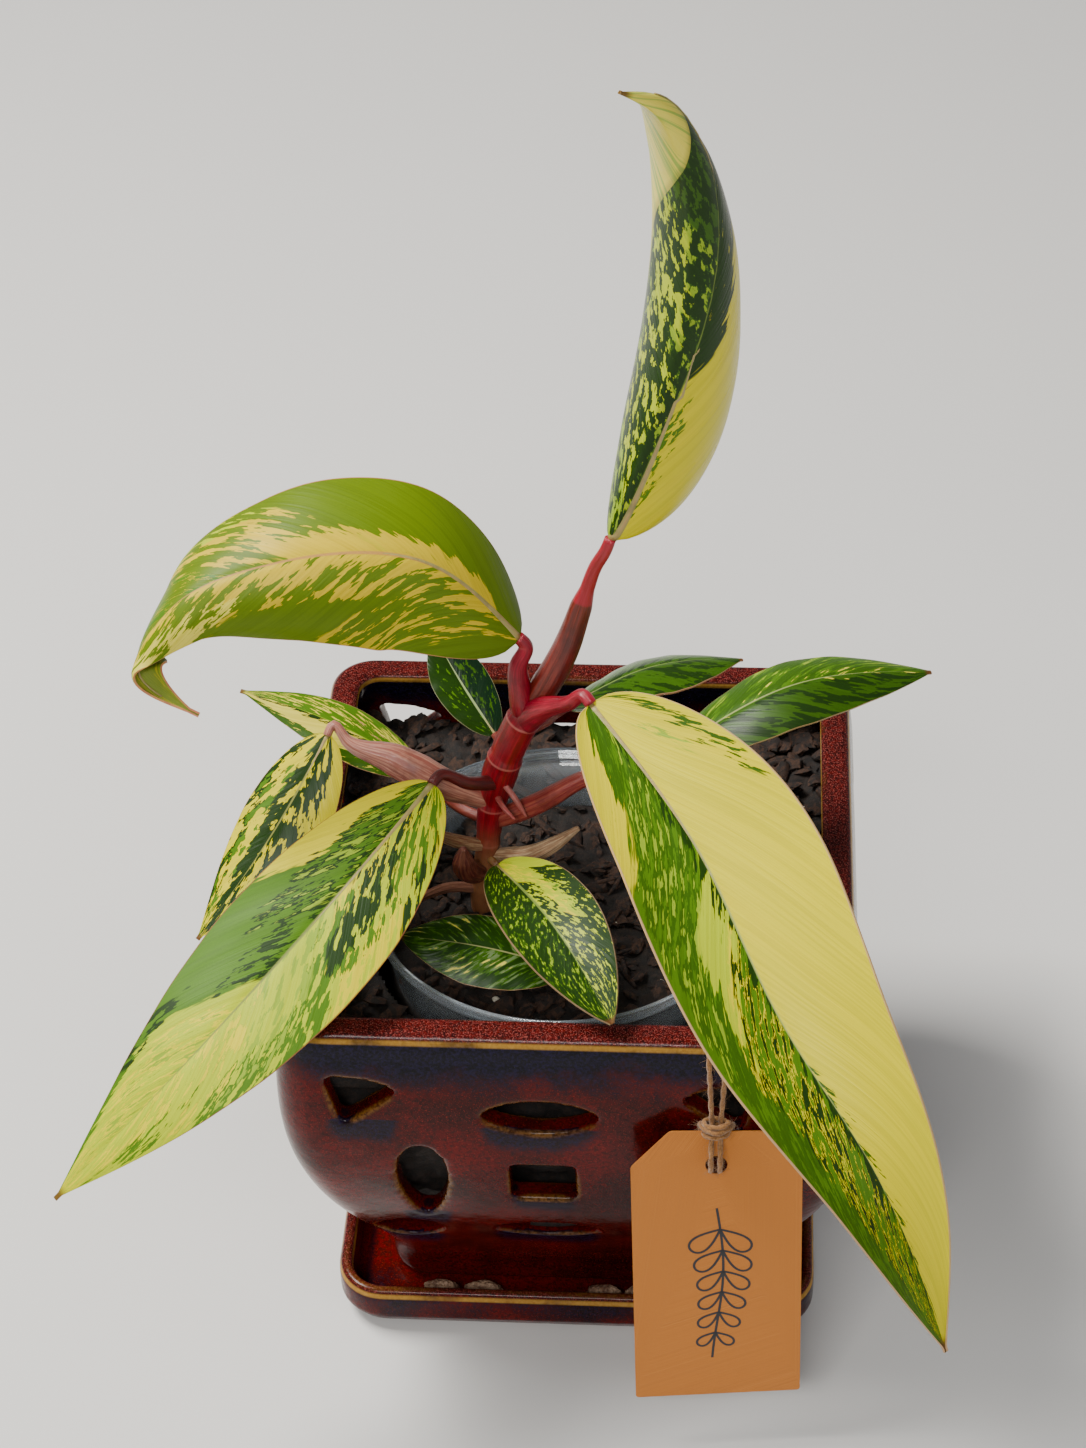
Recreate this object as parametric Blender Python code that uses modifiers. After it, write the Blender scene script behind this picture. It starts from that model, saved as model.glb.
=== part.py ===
"""Potted philodendron: variegated plant, clear nursery pot, glazed square pot, saucer, tag.

Metres, +Z up. The origin is on the floor under the middle of the saucer, and -Y is the front.
"""
import math

import bmesh
import bpy
from mathutils import Vector

# ------------------------------------------------------------------ driving sizes
GAP = 0.0003                # air left between touching pieces

SAUCER_MARGIN = 0.008       # the saucer is this much narrower each side than the pot's rim
SAUCER_HEIGHT = 0.0196
SAUCER_WALL = 0.005
SAUCER_FLOOR = 0.006

POT_HALF = 0.090            # half the square pot's width over the rim
POT_RIM_Z = 0.1586          # height of the rim above the floor
POT_LIP = 0.010             # width of the flat rim
POT_WALL = 0.008
POT_FLOOR = 0.008
POT_CORNER = 0.014          # radius of the upright corners
DRAIN_RADIUS = 0.008

NURSERY_RADIUS = 0.064      # round inner pot, at its rim
NURSERY_STANDOFF = 0.0323   # the round pot is this much shorter than the square one
NURSERY_TAPER = 0.019       # its foot is this much smaller in radius than its rim
NURSERY_WALL = 0.0010
NURSERY_DROP = 0.0036       # its rim sits this far under the square pot's rim
NURSERY_CLEAR = 0.0012      # it leans this close to the front wall
NURSERY_SHIFT = 0.005       # it sits this far left of the middle where there is room

FILL_DROP = 0.0226          # bark and potting mix lie this far under the square rim

TAG_WIDTH = 0.054
TAG_LENGTH = 0.108
TAG_THICK = 0.0007
TAG_CLIP = 0.0125           # clipped top corners
TAG_HOLE_RADIUS = 0.0035
TAG_HOLE_DROP = 0.013
TAG_LEAN = 11.0             # degrees out from the upright at the foot
TAG_TURN = 2.5              # degrees about its own face
TAG_CLEAR = 0.0050          # top edge to the pot's front wall

TWINE_DIAMETER = 0.0018
LEAF_THICK = 0.0008

# ------------------------------------------------------------------ worked-out places
POT_BASE_Z = SAUCER_FLOOR + GAP
POT_TALL = POT_RIM_Z - POT_BASE_Z
INNER_FLOOR_Z = POT_BASE_Z + POT_FLOOR
RIM_INNER_HALF = POT_HALF - POT_LIP
SAUCER_HALF = POT_HALF - SAUCER_MARGIN
FILL_Z = POT_RIM_Z - FILL_DROP
NURSERY_RIM_Z = POT_RIM_Z - NURSERY_DROP
NURSERY_HEIGHT = POT_TALL - NURSERY_STANDOFF
NURSERY_BASE_RADIUS = NURSERY_RADIUS - NURSERY_TAPER
NURSERY_BASE_Z = NURSERY_RIM_Z - NURSERY_HEIGHT
NURSERY_ROOM = RIM_INNER_HALF - NURSERY_RADIUS - NURSERY_CLEAR
NURSERY_X = -min(NURSERY_SHIFT, NURSERY_ROOM)
NURSERY_Y = -NURSERY_ROOM
CROWN = Vector((NURSERY_X - 0.027, NURSERY_Y + 0.007, FILL_Z))  # where the stem leaves the mix
TWINE_RADIUS = TWINE_DIAMETER / 2

# ------------------------------------------------------------------ scene helpers
for old in list(bpy.data.objects):
    bpy.data.objects.remove(old)

PLANT = bpy.data.collections.new("potted_philodendron")
CUTTERS = bpy.data.collections.new("cutters")
bpy.context.scene.collection.children.link(PLANT)
bpy.context.scene.collection.children.link(CUTTERS)


def material(name, color, roughness, metallic=0.0):
    """A plain Principled BSDF material."""
    mat = bpy.data.materials.new(name)
    mat.use_nodes = True
    shader = mat.node_tree.nodes["Principled BSDF"]
    shader.inputs["Base Color"].default_value = (*color, 1.0)
    shader.inputs["Roughness"].default_value = roughness
    shader.inputs["Metallic"].default_value = metallic
    return mat


def add_mesh(name, bm, mat, collection=None, smooth=40.0):
    """Turn a bmesh into a named object in the plant's collection."""
    mesh = bpy.data.meshes.new(name)
    bmesh.ops.recalc_face_normals(bm, faces=bm.faces)
    bm.to_mesh(mesh)
    bm.free()
    mesh.shade_smooth()
    mesh.set_sharp_from_angle(angle=math.radians(smooth))
    obj = bpy.data.objects.new(name, mesh)
    (collection or PLANT).objects.link(obj)
    if mat is not None:
        mesh.materials.append(mat)
    return obj


def as_cutter(obj):
    """Keep a guide body out of the model."""
    for group in list(obj.users_collection):
        group.objects.unlink(obj)
    CUTTERS.objects.link(obj)
    obj.hide_render = True
    obj.display_type = "WIRE"
    return obj


def cut(obj, cutter, operation="DIFFERENCE"):
    """Boolean the cutter into the object."""
    mod = obj.modifiers.new("cut_" + cutter.name, "BOOLEAN")
    mod.operation = operation
    mod.solver = "EXACT"
    mod.object = cutter


def baked(obj):
    """Replace an object by the mesh of its evaluated shape, with loose caps welded."""
    bpy.context.view_layer.update()
    graph = bpy.context.evaluated_depsgraph_get()
    mesh = bpy.data.meshes.new_from_object(obj.evaluated_get(graph))
    bm = bmesh.new()
    bm.from_mesh(mesh)
    bmesh.ops.remove_doubles(bm, verts=bm.verts, dist=0.00001)
    bm.to_mesh(mesh)
    bm.free()
    made = bpy.data.objects.new(obj.name + "_mesh", mesh)
    made.matrix_world = obj.matrix_world
    for group in obj.users_collection:
        group.objects.link(made)
    name = obj.name
    bpy.data.objects.remove(obj)
    made.name = name
    return made


# ------------------------------------------------------------------ curves
def hermite(a, b, ta, tb, t):
    """Point between a and b with end tangents ta and tb."""
    t2, t3 = t * t, t * t * t
    return a * (2 * t3 - 3 * t2 + 1) + ta * (t3 - 2 * t2 + t) + b * (3 * t2 - 2 * t3) + tb * (t3 - t2)


def smooth_path(points, count):
    """Evenly spaced points on a smooth curve through the given ones."""
    pts = [Vector(p) for p in points]
    if len(pts) == 2:
        return [pts[0].lerp(pts[1], i / (count - 1)) for i in range(count)]
    knots = [0.0]
    for a, b in zip(pts, pts[1:]):
        knots.append(knots[-1] + (b - a).length)
    slopes = []
    for i in range(1, len(pts) - 1):
        before, after = knots[i] - knots[i - 1], knots[i + 1] - knots[i]
        rise = (pts[i] - pts[i - 1]) / before * after + (pts[i + 1] - pts[i]) / after * before
        slopes.append(rise / (before + after))
    first = (pts[1] - pts[0]) / knots[1] * 1.5 - slopes[0] * 0.5
    last = (pts[-1] - pts[-2]) / (knots[-1] - knots[-2]) * 1.5 - slopes[-1] * 0.5
    slopes = [first] + slopes + [last]
    fine = []
    for i in range(len(pts) - 1):
        span = knots[i + 1] - knots[i]
        for k in range(40):
            fine.append(hermite(pts[i], pts[i + 1], slopes[i] * span, slopes[i + 1] * span, k / 40))
    fine.append(pts[-1])
    return resample(fine, count)


def resample(fine, count):
    """Evenly spaced points along a fine polyline."""
    length = [0.0]
    for a, b in zip(fine, fine[1:]):
        length.append(length[-1] + (b - a).length)
    out, j = [], 0
    for i in range(count):
        want = length[-1] * i / (count - 1)
        while j < len(fine) - 2 and length[j + 1] < want:
            j += 1
        step = (want - length[j]) / max(length[j + 1] - length[j], 1e-9)
        out.append(fine[j].lerp(fine[j + 1], min(step, 1.0)))
    return out


def along(values, t):
    """A value along a length, from its values at evenly spaced stations."""
    place = t * (len(values) - 1)
    i = min(int(place), len(values) - 2)
    return values[i] + (values[i + 1] - values[i]) * (place - i)


def tube(name, points, radii, mat, count, sides=2):
    """A round tube through points, its radius given at evenly spaced stations."""
    data = bpy.data.curves.new(name, "CURVE")
    data.dimensions = "3D"
    data.bevel_depth = 1.0
    data.bevel_resolution = sides
    data.use_fill_caps = True
    path = smooth_path(points, count)
    spline = data.splines.new("POLY")
    spline.points.add(len(path) - 1)
    for i, p in enumerate(path):
        spline.points[i].co = (*p, 1.0)
        spline.points[i].radius = along(radii, i / (len(path) - 1))
    obj = bpy.data.objects.new(name, data)
    PLANT.objects.link(obj)
    obj = baked(obj)
    obj.data.materials.clear()
    obj.data.materials.append(mat)
    obj.data.shade_smooth()
    obj.data.set_sharp_from_angle(angle=math.radians(50))
    return obj


# ------------------------------------------------------------------ square ware
def square_ring(half, corner, z, arc=3):
    """Points of a rounded square, anticlockwise seen from above."""
    out = []
    for quarter in range(4):
        middle = math.radians(45 + 90 * quarter)
        cx = math.copysign(half - corner, math.cos(middle))
        cy = math.copysign(half - corner, math.sin(middle))
        for k in range(arc + 1):
            a = math.radians(90 * quarter + 90 * k / arc)
            out.append((cx + corner * math.cos(a), cy + corner * math.sin(a), z))
    return out


def square_loft(name, profile, mat, collection=None):
    """A closed body lofted through rounded squares; profile rows are half width, corner, z."""
    bm = bmesh.new()
    rings = [[bm.verts.new(p) for p in square_ring(*row)] for row in profile]
    for low, high in zip(rings, rings[1:]):
        for i in range(len(low)):
            j = (i + 1) % len(low)
            bm.faces.new((low[i], low[j], high[j], high[i]))
    bm.faces.new(list(reversed(rings[0])))
    bm.faces.new(rings[-1])
    return add_mesh(name, bm, mat, collection, smooth=50.0)


def pot_half(z):
    """Half the pot's outer width at a height above its own base."""
    share = z / POT_TALL
    spread = [0.717, 0.728, 0.790, 0.868, 0.935, 0.985, 1.018, 1.033, 1.033, 1.022, 1.0]
    return POT_HALF * along(spread, share)


def pot_inner_half(z):
    """Half the pot's inner width: one wall in from the outside, and narrower under the lip."""
    inside = pot_half(z) - POT_WALL
    lip = (z - 0.9 * POT_TALL) / (0.1 * POT_TALL)
    if lip > 0.0:
        return inside + (RIM_INNER_HALF - inside) * min(lip, 1.0)
    return inside


def make_saucer():
    half, wall, high = SAUCER_HALF, SAUCER_WALL, SAUCER_HEIGHT
    glaze = material("glaze_saucer", (0.16, 0.035, 0.025), 0.18)
    profile = [
        (half - 0.007, 0.012, 0.0),
        (half - 0.003, 0.014, 0.0015),
        (half, 0.016, 0.007),
        (half, 0.016, high - 0.003),
        (half - 0.0012, 0.015, high - 0.0006),
        (half - 0.0028, 0.014, high),
        (half - wall + 0.0006, 0.012, high - 0.0010),
        (half - wall, 0.011, high - 0.004),
        (half - wall - 0.001, 0.010, SAUCER_FLOOR + 0.003),
        (half - wall - 0.004, 0.008, SAUCER_FLOOR),
    ]
    square_loft("saucer", profile, glaze)


def make_outer_pot():
    glaze = material("glaze_pot", (0.20, 0.03, 0.025), 0.16)
    foot = 0.012
    levels = [0.0, 0.1, 0.18, 0.26, 0.36, 0.46, 0.58, 0.70, 0.82, 0.94]
    profile = [(pot_half(0) - 0.003, POT_CORNER - 0.002, POT_BASE_Z)]
    for share in levels:
        z = max(share * POT_TALL, 0.002)
        profile.append((pot_half(z), POT_CORNER, POT_BASE_Z + z))
    profile.append((POT_HALF + 0.0008, POT_CORNER, POT_RIM_Z - 0.0040))
    profile.append((POT_HALF, POT_CORNER, POT_RIM_Z - 0.0015))
    profile.append((POT_HALF - 0.0018, POT_CORNER - 0.001, POT_RIM_Z))
    profile.append((RIM_INNER_HALF + 0.0018, POT_CORNER - 0.006, POT_RIM_Z))
    profile.append((RIM_INNER_HALF, POT_CORNER - 0.007, POT_RIM_Z - 0.0018))
    for share in reversed(levels[1:]):
        z = share * POT_TALL
        profile.append((pot_inner_half(z), POT_CORNER - 0.006, POT_BASE_Z + z))
    profile.append((pot_inner_half(foot) - 0.003, POT_CORNER - 0.007, INNER_FLOOR_Z))
    pot = square_loft("outer_pot", profile, glaze)
    pot.data.shade_smooth()
    for turn in (0, 90):
        for cutter in pierced_pattern(turn):
            cut(pot, cutter)
    drain = cylinder_cutter("drain_cutter", DRAIN_RADIUS, POT_BASE_Z + POT_FLOOR / 2, POT_FLOOR * 2)
    cut(pot, drain)


def cylinder_cutter(name, radius, z, depth):
    bm = bmesh.new()
    bmesh.ops.create_cone(bm, cap_ends=True, segments=16, radius1=radius, radius2=radius, depth=depth)
    bmesh.ops.translate(bm, verts=bm.verts, vec=(0, 0, z))
    return as_cutter(add_mesh(name, bm, None))


def oval(x, z, width, height, count=12):
    """Outline of an eye-shaped hole, pointed a little at both ends."""
    out = []
    for i in range(count):
        a = 2 * math.pi * i / count
        flat = 1.0 - 0.25 * abs(math.cos(a)) ** 3
        out.append((x + width / 2 * math.cos(a), z + height / 2 * math.sin(a) * flat))
    return out


def bowed(corners, bulge, side):
    """A corner outline with one side bowed outward."""
    out = []
    for i, p in enumerate(corners):
        q = corners[(i + 1) % len(corners)]
        out.append(p)
        if i != side:
            continue
        dx, dz = q[0] - p[0], q[1] - p[1]
        reach = math.hypot(dx, dz)
        for k in (1, 2, 3):
            t = k / 4
            push = bulge * 4 * t * (1 - t) / reach
            out.append((p[0] + dx * t - dz * push, p[1] + dz * t + dx * push))
    return out


def teardrop(x, top, bottom, width, count=12):
    """Outline pointed at its foot and round above the middle."""
    out = []
    for i in range(count):
        a = 2 * math.pi * i / count - math.pi / 2
        lift = (1 + math.sin(a)) / 2
        out.append((x + width / 2 * math.cos(a) * (0.55 + 0.45 * lift), bottom + (top - bottom) * lift))
    return out


def pierced_pattern(turn):
    """Cutters right through two facing walls: eyes, a window, brows and tears."""
    shift = -0.008
    high = POT_TALL / 0.1523
    outlines = {
        "eye_top": oval(shift, 0.1255 * high, 0.037, 0.014),
        "window": [(shift - 0.0105, 0.080 * high), (shift + 0.0105, 0.080 * high),
                   (shift + 0.0105, 0.101 * high), (shift - 0.0105, 0.101 * high)],
        "eye_low": oval(shift, 0.0525 * high, 0.034, 0.013),
    }
    for side, name in ((-1, "left"), (1, "right")):
        brow = [(0.068, 0.141), (0.044, 0.136), (0.063, 0.120)]
        brow = [(shift + side * x, z * high) for x, z in brow]
        outlines["brow_" + name] = bowed(brow, -side * 0.002, 0)
        outlines["tear_" + name] = teardrop(shift + side * 0.039, 0.110 * high, 0.066 * high, 0.020)
        outlines["eye_" + name] = oval(shift + side * 0.0465, 0.050 * high, 0.023, 0.017)
    made = []
    for name, outline in outlines.items():
        data = bpy.data.curves.new(name, "CURVE")
        data.dimensions = "2D"
        data.fill_mode = "BOTH"
        data.extrude = POT_HALF * 1.4
        spline = data.splines.new("POLY")
        spline.points.add(len(outline) - 1)
        for i, (x, z) in enumerate(outline):
            spline.points[i].co = (x, z, 0.0, 1.0)
        spline.use_cyclic_u = True
        obj = bpy.data.objects.new("cut_%s_%d" % (name, turn), data)
        PLANT.objects.link(obj)
        obj.rotation_euler = (math.pi / 2, 0.0, math.radians(turn))
        obj = baked(obj)
        made.append(as_cutter(obj))
    return made


def turned(name, profile, mat, center, steps=32):
    """A turned body from a profile that runs down its outer side."""
    mesh = bpy.data.meshes.new(name)
    mesh.from_pydata([(r, 0.0, z) for r, z in profile], [(i, i + 1) for i in range(len(profile) - 1)], [])
    obj = bpy.data.objects.new(name, mesh)
    PLANT.objects.link(obj)
    screw = obj.modifiers.new("turn", "SCREW")
    screw.steps = steps
    screw.render_steps = steps
    screw.use_merge_vertices = True
    screw.merge_threshold = 0.00001
    obj.location = center
    if mat is not None:
        mesh.materials.append(mat)
    obj = baked(obj)
    obj.data.shade_smooth()
    obj.data.set_sharp_from_angle(angle=math.radians(40))
    return obj


def nursery_radius(z):
    """Outer radius of the round pot at a height above the floor."""
    share = (z - NURSERY_BASE_Z) / NURSERY_HEIGHT
    body = NURSERY_RADIUS - 0.0025
    return NURSERY_BASE_RADIUS + (body - NURSERY_BASE_RADIUS) * share


def make_nursery_pot():
    clear = material("clear_plastic", (0.75, 0.80, 0.82), 0.12)
    top, base, wall = NURSERY_RIM_Z, NURSERY_BASE_Z, NURSERY_WALL
    rim = NURSERY_RADIUS
    profile = [
        (rim - wall, top),
        (rim, top - 0.0006),
        (rim, top - 0.0036),
        (rim - 0.0012, top - 0.0044),
        (rim - 0.0004, top - 0.0056),
        (nursery_radius(top - 0.009), top - 0.009),
        (NURSERY_BASE_RADIUS, base + 0.003),
        (NURSERY_BASE_RADIUS - 0.003, base),
        (0.0, base),
    ]
    inside = [
        (0.0, base + wall),
        (NURSERY_BASE_RADIUS - 0.0036, base + wall),
        (NURSERY_BASE_RADIUS - wall, base + 0.0035),
        (nursery_radius(top - 0.009) - wall, top - 0.009),
        (rim - 2 * wall, top - 0.005),
        (rim - 2 * wall, top - 0.0006),
        (rim - wall, top),
    ]
    turned("nursery_pot", profile + inside, clear, (NURSERY_X, NURSERY_Y, 0.0))


def make_potting_mix():
    soil = material("potting_mix", (0.05, 0.035, 0.025), 0.9)
    base = NURSERY_BASE_Z + NURSERY_WALL + GAP
    edge = NURSERY_WALL + GAP
    profile = [
        (0.0, FILL_Z),
        (nursery_radius(FILL_Z) - edge, FILL_Z),
        (nursery_radius(base + 0.0045) - edge - 0.0004, base + 0.0045),
        (NURSERY_BASE_RADIUS - 0.0048, base),
        (0.0, base),
    ]
    turned("potting_mix", profile, soil, (NURSERY_X, NURSERY_Y, 0.0))


def make_bark_fill():
    bark = material("bark_fill", (0.045, 0.03, 0.02), 0.9)
    profile = [(pot_inner_half(0.012) - 0.006, POT_CORNER - 0.007, INNER_FLOOR_Z + GAP)]
    for share in (0.18, 0.26, 0.36, 0.46, 0.58, 0.70, 0.82):
        z = share * POT_TALL
        profile.append((pot_inner_half(z) - GAP, POT_CORNER - 0.006, POT_BASE_Z + z))
    profile.append((pot_inner_half(FILL_Z - POT_BASE_Z) - GAP - 0.0004, POT_CORNER - 0.006, FILL_Z))
    fill = square_loft("bark_fill", profile, bark)
    base = NURSERY_BASE_Z
    hollow = [
        (0.0, FILL_Z + 0.01),
        (nursery_radius(FILL_Z + 0.01) + GAP, FILL_Z + 0.01),
        (NURSERY_BASE_RADIUS + GAP, base + 0.003),
        (NURSERY_BASE_RADIUS - 0.003 + GAP, base - GAP),
        (0.0, base - GAP),
    ]
    cut(fill, as_cutter(turned("nursery_space", hollow, None, (NURSERY_X, NURSERY_Y, 0.0))))


# ------------------------------------------------------------------ the plant
def outline_share(t, peak, base, tip):
    """Half width along a blade, from 0 at the foot through 1 at the peak to 0 at the tip."""
    if t < peak:
        return math.sin(t / peak * math.pi / 2) ** base
    return math.sin((1 - t) / (1 - peak) * math.pi / 2) ** tip


def bend(value, t):
    """One number, or three for the foot, middle and tip of a blade."""
    if not isinstance(value, tuple):
        return value
    foot, middle, tip = value
    return foot * (1 - t) * (1 - 2 * t) + middle * 4 * t * (1 - t) + tip * t * (2 * t - 1)


def blade_point(row, share, shape):
    """A point of the blade: share runs from -1 at the left margin to 1 at the right."""
    origin, side, face, t = row
    width = shape["width"] / 2 * outline_share(t, shape["peak"], shape["base"], shape["tip"])
    width = max(width, 0.0009)
    reach = abs(share)
    sign = 1 if share > 0 else -1
    width *= 1 + sign * bend(shape.get("lopsided", 0.0), t)
    fold = math.radians(bend(shape["fold"], t))
    curl = math.radians(bend(shape["curl_right"] if share > 0 else shape["curl_left"], t))
    across = up = 0.0
    for k in range(12):
        angle = fold + curl * reach * (k + 0.5) / 12
        across += math.cos(angle) / 12
        up += math.sin(angle) / 12
    return origin + side * (sign * across * reach * width) + face * (up * reach * width)


def blade_rows(shape, rows):
    """Midrib points with the directions to the right margin and out of the face."""
    path = smooth_path([CROWN + Vector(p) for p in shape["spine"]], rows)
    out = []
    for i, p in enumerate(path):
        ahead = (path[min(i + 1, rows - 1)] - path[max(i - 1, 0)]).normalized()
        side = Vector(shape["side"])
        side = (side - ahead * side.dot(ahead)).normalized()
        face = side.cross(ahead)
        t = i / (rows - 1)
        turn = math.radians(bend(shape.get("twist", 0.0), t))
        turned_side = side * math.cos(turn) + face * math.sin(turn)
        out.append((p, turned_side, turned_side.cross(ahead), t))
    return out


def make_leaf(name, shape, mat):
    """A blade: a grid laid on its midrib curve, thickened with Solidify."""
    columns, rows = shape["cells"]
    bm = bmesh.new()
    bmesh.ops.create_grid(bm, x_segments=columns, y_segments=rows, size=1.0)
    frames = blade_rows(shape, rows + 1)
    for v in bm.verts:
        row = round((v.co.y + 1) / 2 * rows)
        v.co = blade_point(frames[row], v.co.x, shape)
    leaf = add_mesh(name, bm, mat, smooth=80.0)
    thick = leaf.modifiers.new("thickness", "SOLIDIFY")
    thick.thickness = LEAF_THICK
    thick.offset = 0.0
    thick.use_even_offset = False


BLADE = {"peak": 0.38, "base": 0.5, "tip": 1.05, "fold": -5.0, "curl_right": -20.0,
         "curl_left": -20.0, "cells": (6, 8)}

LEAVES = {
    "leaf_top": {
        "spine": [(0.044, 0.006, 0.150), (0.0545, 0.008, 0.182), (0.0635, 0.010, 0.214),
                  (0.0675, 0.011, 0.245), (0.0655, 0.010, 0.274), (0.0585, 0.005, 0.296),
                  (0.0485, -0.002, 0.307)],
        "side": (1.0, -0.35, 0.0), "width": 0.078, "peak": 0.34, "base": 0.45, "tip": 0.85,
        "fold": (-28.0, -24.0, -20.0), "curl_right": (-55.0, -105.0, -190.0),
        "curl_left": (-80.0, -85.0, -20.0), "twist": (6.0, -10.0, -10.0), "cells": (10, 18)},
    "leaf_arching": {
        "spine": [(0.015, 0.011, 0.106), (-0.0145, 0.009, 0.1385), (-0.056, 0.000, 0.144),
                  (-0.0895, -0.008, 0.1315), (-0.101, -0.0155, 0.1135), (-0.082, -0.022, 0.1005)],
        "side": (0.15, 0.80, 0.58), "width": 0.061, "peak": 0.35, "base": 0.45, "tip": 1.25,
        "curl_right": (-30.0, -30.0, -60.0), "curl_left": (-20.0, -75.0, -90.0),
        "twist": (0.0, -6.0, -12.0), "lopsided": (0.0, -0.02, 0.5), "cells": (8, 18)},
    "leaf_front_right": {
        "spine": [(0.038, -0.010, 0.098), (0.0705, -0.052, 0.081), (0.098, -0.100, 0.054),
                  (0.127, -0.132, 0.023), (0.150, -0.150, -0.036)],
        "side": (0.8, 0.5, 0.3), "width": 0.065, "peak": 0.35, "tip": 1.0, "fold": -10.0,
        "curl_right": (-20.0, -30.0, -70.0), "curl_left": -30.0,
        "lopsided": (0.08, 0.08, -0.1), "cells": (8, 18)},
    "leaf_front_left": {
        "spine": [(-0.013, -0.007, 0.060), (-0.0515, -0.062, 0.043), (-0.082, -0.096, 0.0255),
                  (-0.124, -0.121, -0.0125)],
        "side": (-0.7, 0.6, 0.2), "width": 0.052, "fold": 5.0, "cells": (8, 14)},
    "leaf_far_left": {
        "spine": [(-0.0485, 0.012, 0.063), (-0.065, -0.012, 0.042), (-0.0885, -0.038, 0.018)],
        "side": (-0.7, 0.6, 0.3), "width": 0.030},
    "leaf_back_left": {
        "spine": [(-0.021, 0.022, 0.038), (-0.048, 0.030, 0.051), (-0.081, 0.038, 0.058)],
        "side": (0.0, 0.9, 0.3), "width": 0.021},
    "leaf_back_middle": {
        "spine": [(0.005, 0.020, 0.057), (-0.006, 0.035, 0.064), (-0.018, 0.053, 0.073)],
        "side": (1.0, 0.3, 0.0), "width": 0.019, "peak": 0.5, "tip": 0.9, "fold": 10.0},
    "leaf_back_right": {
        "spine": [(0.028, 0.026, 0.064), (0.054, 0.041, 0.069), (0.085, 0.053, 0.063)],
        "side": (0.2, -0.9, 0.3), "width": 0.031, "peak": 0.5, "tip": 1.0},
    "leaf_far_right": {
        "spine": [(0.062, 0.008, 0.061), (0.100, 0.023, 0.078), (0.146, 0.038, 0.072)],
        "side": (0.2, -0.9, 0.0), "width": 0.032, "peak": 0.45, "tip": 0.9},
    "leaf_low_right": {
        "spine": [(0.007, -0.014, 0.031), (0.029, -0.050, 0.038), (0.047, -0.080, 0.029)],
        "side": (0.8, 0.4, 0.2), "width": 0.031, "peak": 0.5, "tip": 0.75},
    "leaf_low_left": {
        "spine": [(0.031, -0.048, 0.019), (0.005, -0.045, 0.025), (-0.022, -0.042, 0.026)],
        "side": (0.0, 0.9, 0.3), "width": 0.026, "peak": 0.5, "tip": 0.8},
}

STEM = [(0.0, 0.0, 0.0), (0.0, 0.0, 0.006), (0.002, 0.004, 0.020), (0.004, 0.008, 0.036),
        (0.010, 0.008, 0.061), (0.019, 0.008, 0.083)]
STEM_RADII = [0.0036, 0.0036, 0.0038, 0.0044, 0.0050, 0.0058, 0.0054, 0.0056, 0.0050]

# Each stalk starts inside the stem and ends at its blade's foot.
STALKS = {
    "petiole_arching": ([(0.0155, 0.008, 0.073), (0.0115, 0.006, 0.083), (0.0120, 0.007, 0.094)],
                        [0.0030, 0.0026, 0.0022], "leaf_arching"),
    "petiole_front_right": ([(0.0155, 0.008, 0.071), (0.0225, -0.0015, 0.0785), (0.0300, -0.0070, 0.0900)],
                            [0.0034, 0.0026, 0.0022, 0.0020], "leaf_front_right"),
    "petiole_front_left": ([(0.007, 0.008, 0.048), (-0.002, -0.001, 0.055)],
                           [0.0026, 0.0022, 0.0018], "leaf_front_left"),
    "sheath_far_left": ([(0.005, 0.008, 0.038), (-0.012, 0.006, 0.048), (-0.028, 0.009, 0.056),
                         (-0.042, 0.011, 0.061)],
                        [0.0030, 0.0042, 0.0044, 0.0030, 0.0014], "leaf_far_left"),
    "petiole_back_left": ([(0.003, 0.008, 0.030), (-0.010, 0.015, 0.031)],
                          [0.0020, 0.0016, 0.0014], "leaf_back_left"),
    "petiole_back_middle": ([(0.010, 0.008, 0.056), (0.008, 0.014, 0.056)],
                            [0.0018, 0.0016, 0.0014], "leaf_back_middle"),
    "petiole_back_right": ([(0.015, 0.008, 0.070), (0.022, 0.016, 0.067)],
                           [0.0022, 0.0018, 0.0014], "leaf_back_right"),
    "sheath_far_right": ([(0.004, 0.008, 0.030), (0.020, 0.003, 0.043), (0.036, 0.004, 0.054)],
                         [0.0030, 0.0034, 0.0030, 0.0016, 0.0014], "leaf_far_right"),
    "petiole_low_right": ([(0.0004, 0.001, 0.010), (0.008, -0.0055, 0.019)],
                          [0.0018, 0.0016, 0.0013], "leaf_low_right"),
    "petiole_low_left": ([(0.0, 0.0, 0.0055), (0.018, -0.016, 0.011), (0.036, -0.036, 0.016)],
                         [0.0017, 0.0016, 0.0015, 0.0013], "leaf_low_left"),
}


def stem_tube(name, extra=0.0):
    """The stem, or a slightly fatter copy of it."""
    red = material(name, (0.42, 0.05, 0.08), 0.35)
    return tube(name, [CROWN + Vector(p) + Vector((0, 0, GAP)) for p in STEM],
                [r + extra for r in STEM_RADII], red, 18)


def before_foot(blade, back=GAP + 0.0002):
    """A point just short of a blade's foot, in line with its midrib."""
    spine = LEAVES[blade]["spine"]
    first = smooth_path(spine, 40)
    return CROWN + Vector(spine[0]) - (first[1] - first[0]).normalized() * back


def make_plant():
    stem_tube("stem")
    saddle = as_cutter(stem_tube("stem_space", GAP))
    make_top_petiole()
    red = (0.38, 0.07, 0.09)
    for name, (points, radii, blade) in STALKS.items():
        path = [CROWN + Vector(p) for p in points] + [before_foot(blade, 0.0035), before_foot(blade)]
        stalk = tube(name, path, radii, material(name, red, 0.4), 3 * len(path))
        cut(stalk, saddle)
    for name, shape in LEAVES.items():
        green = material(name, (0.30, 0.36, 0.08), 0.4)
        make_leaf(name, {**BLADE, **shape}, green)


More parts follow.
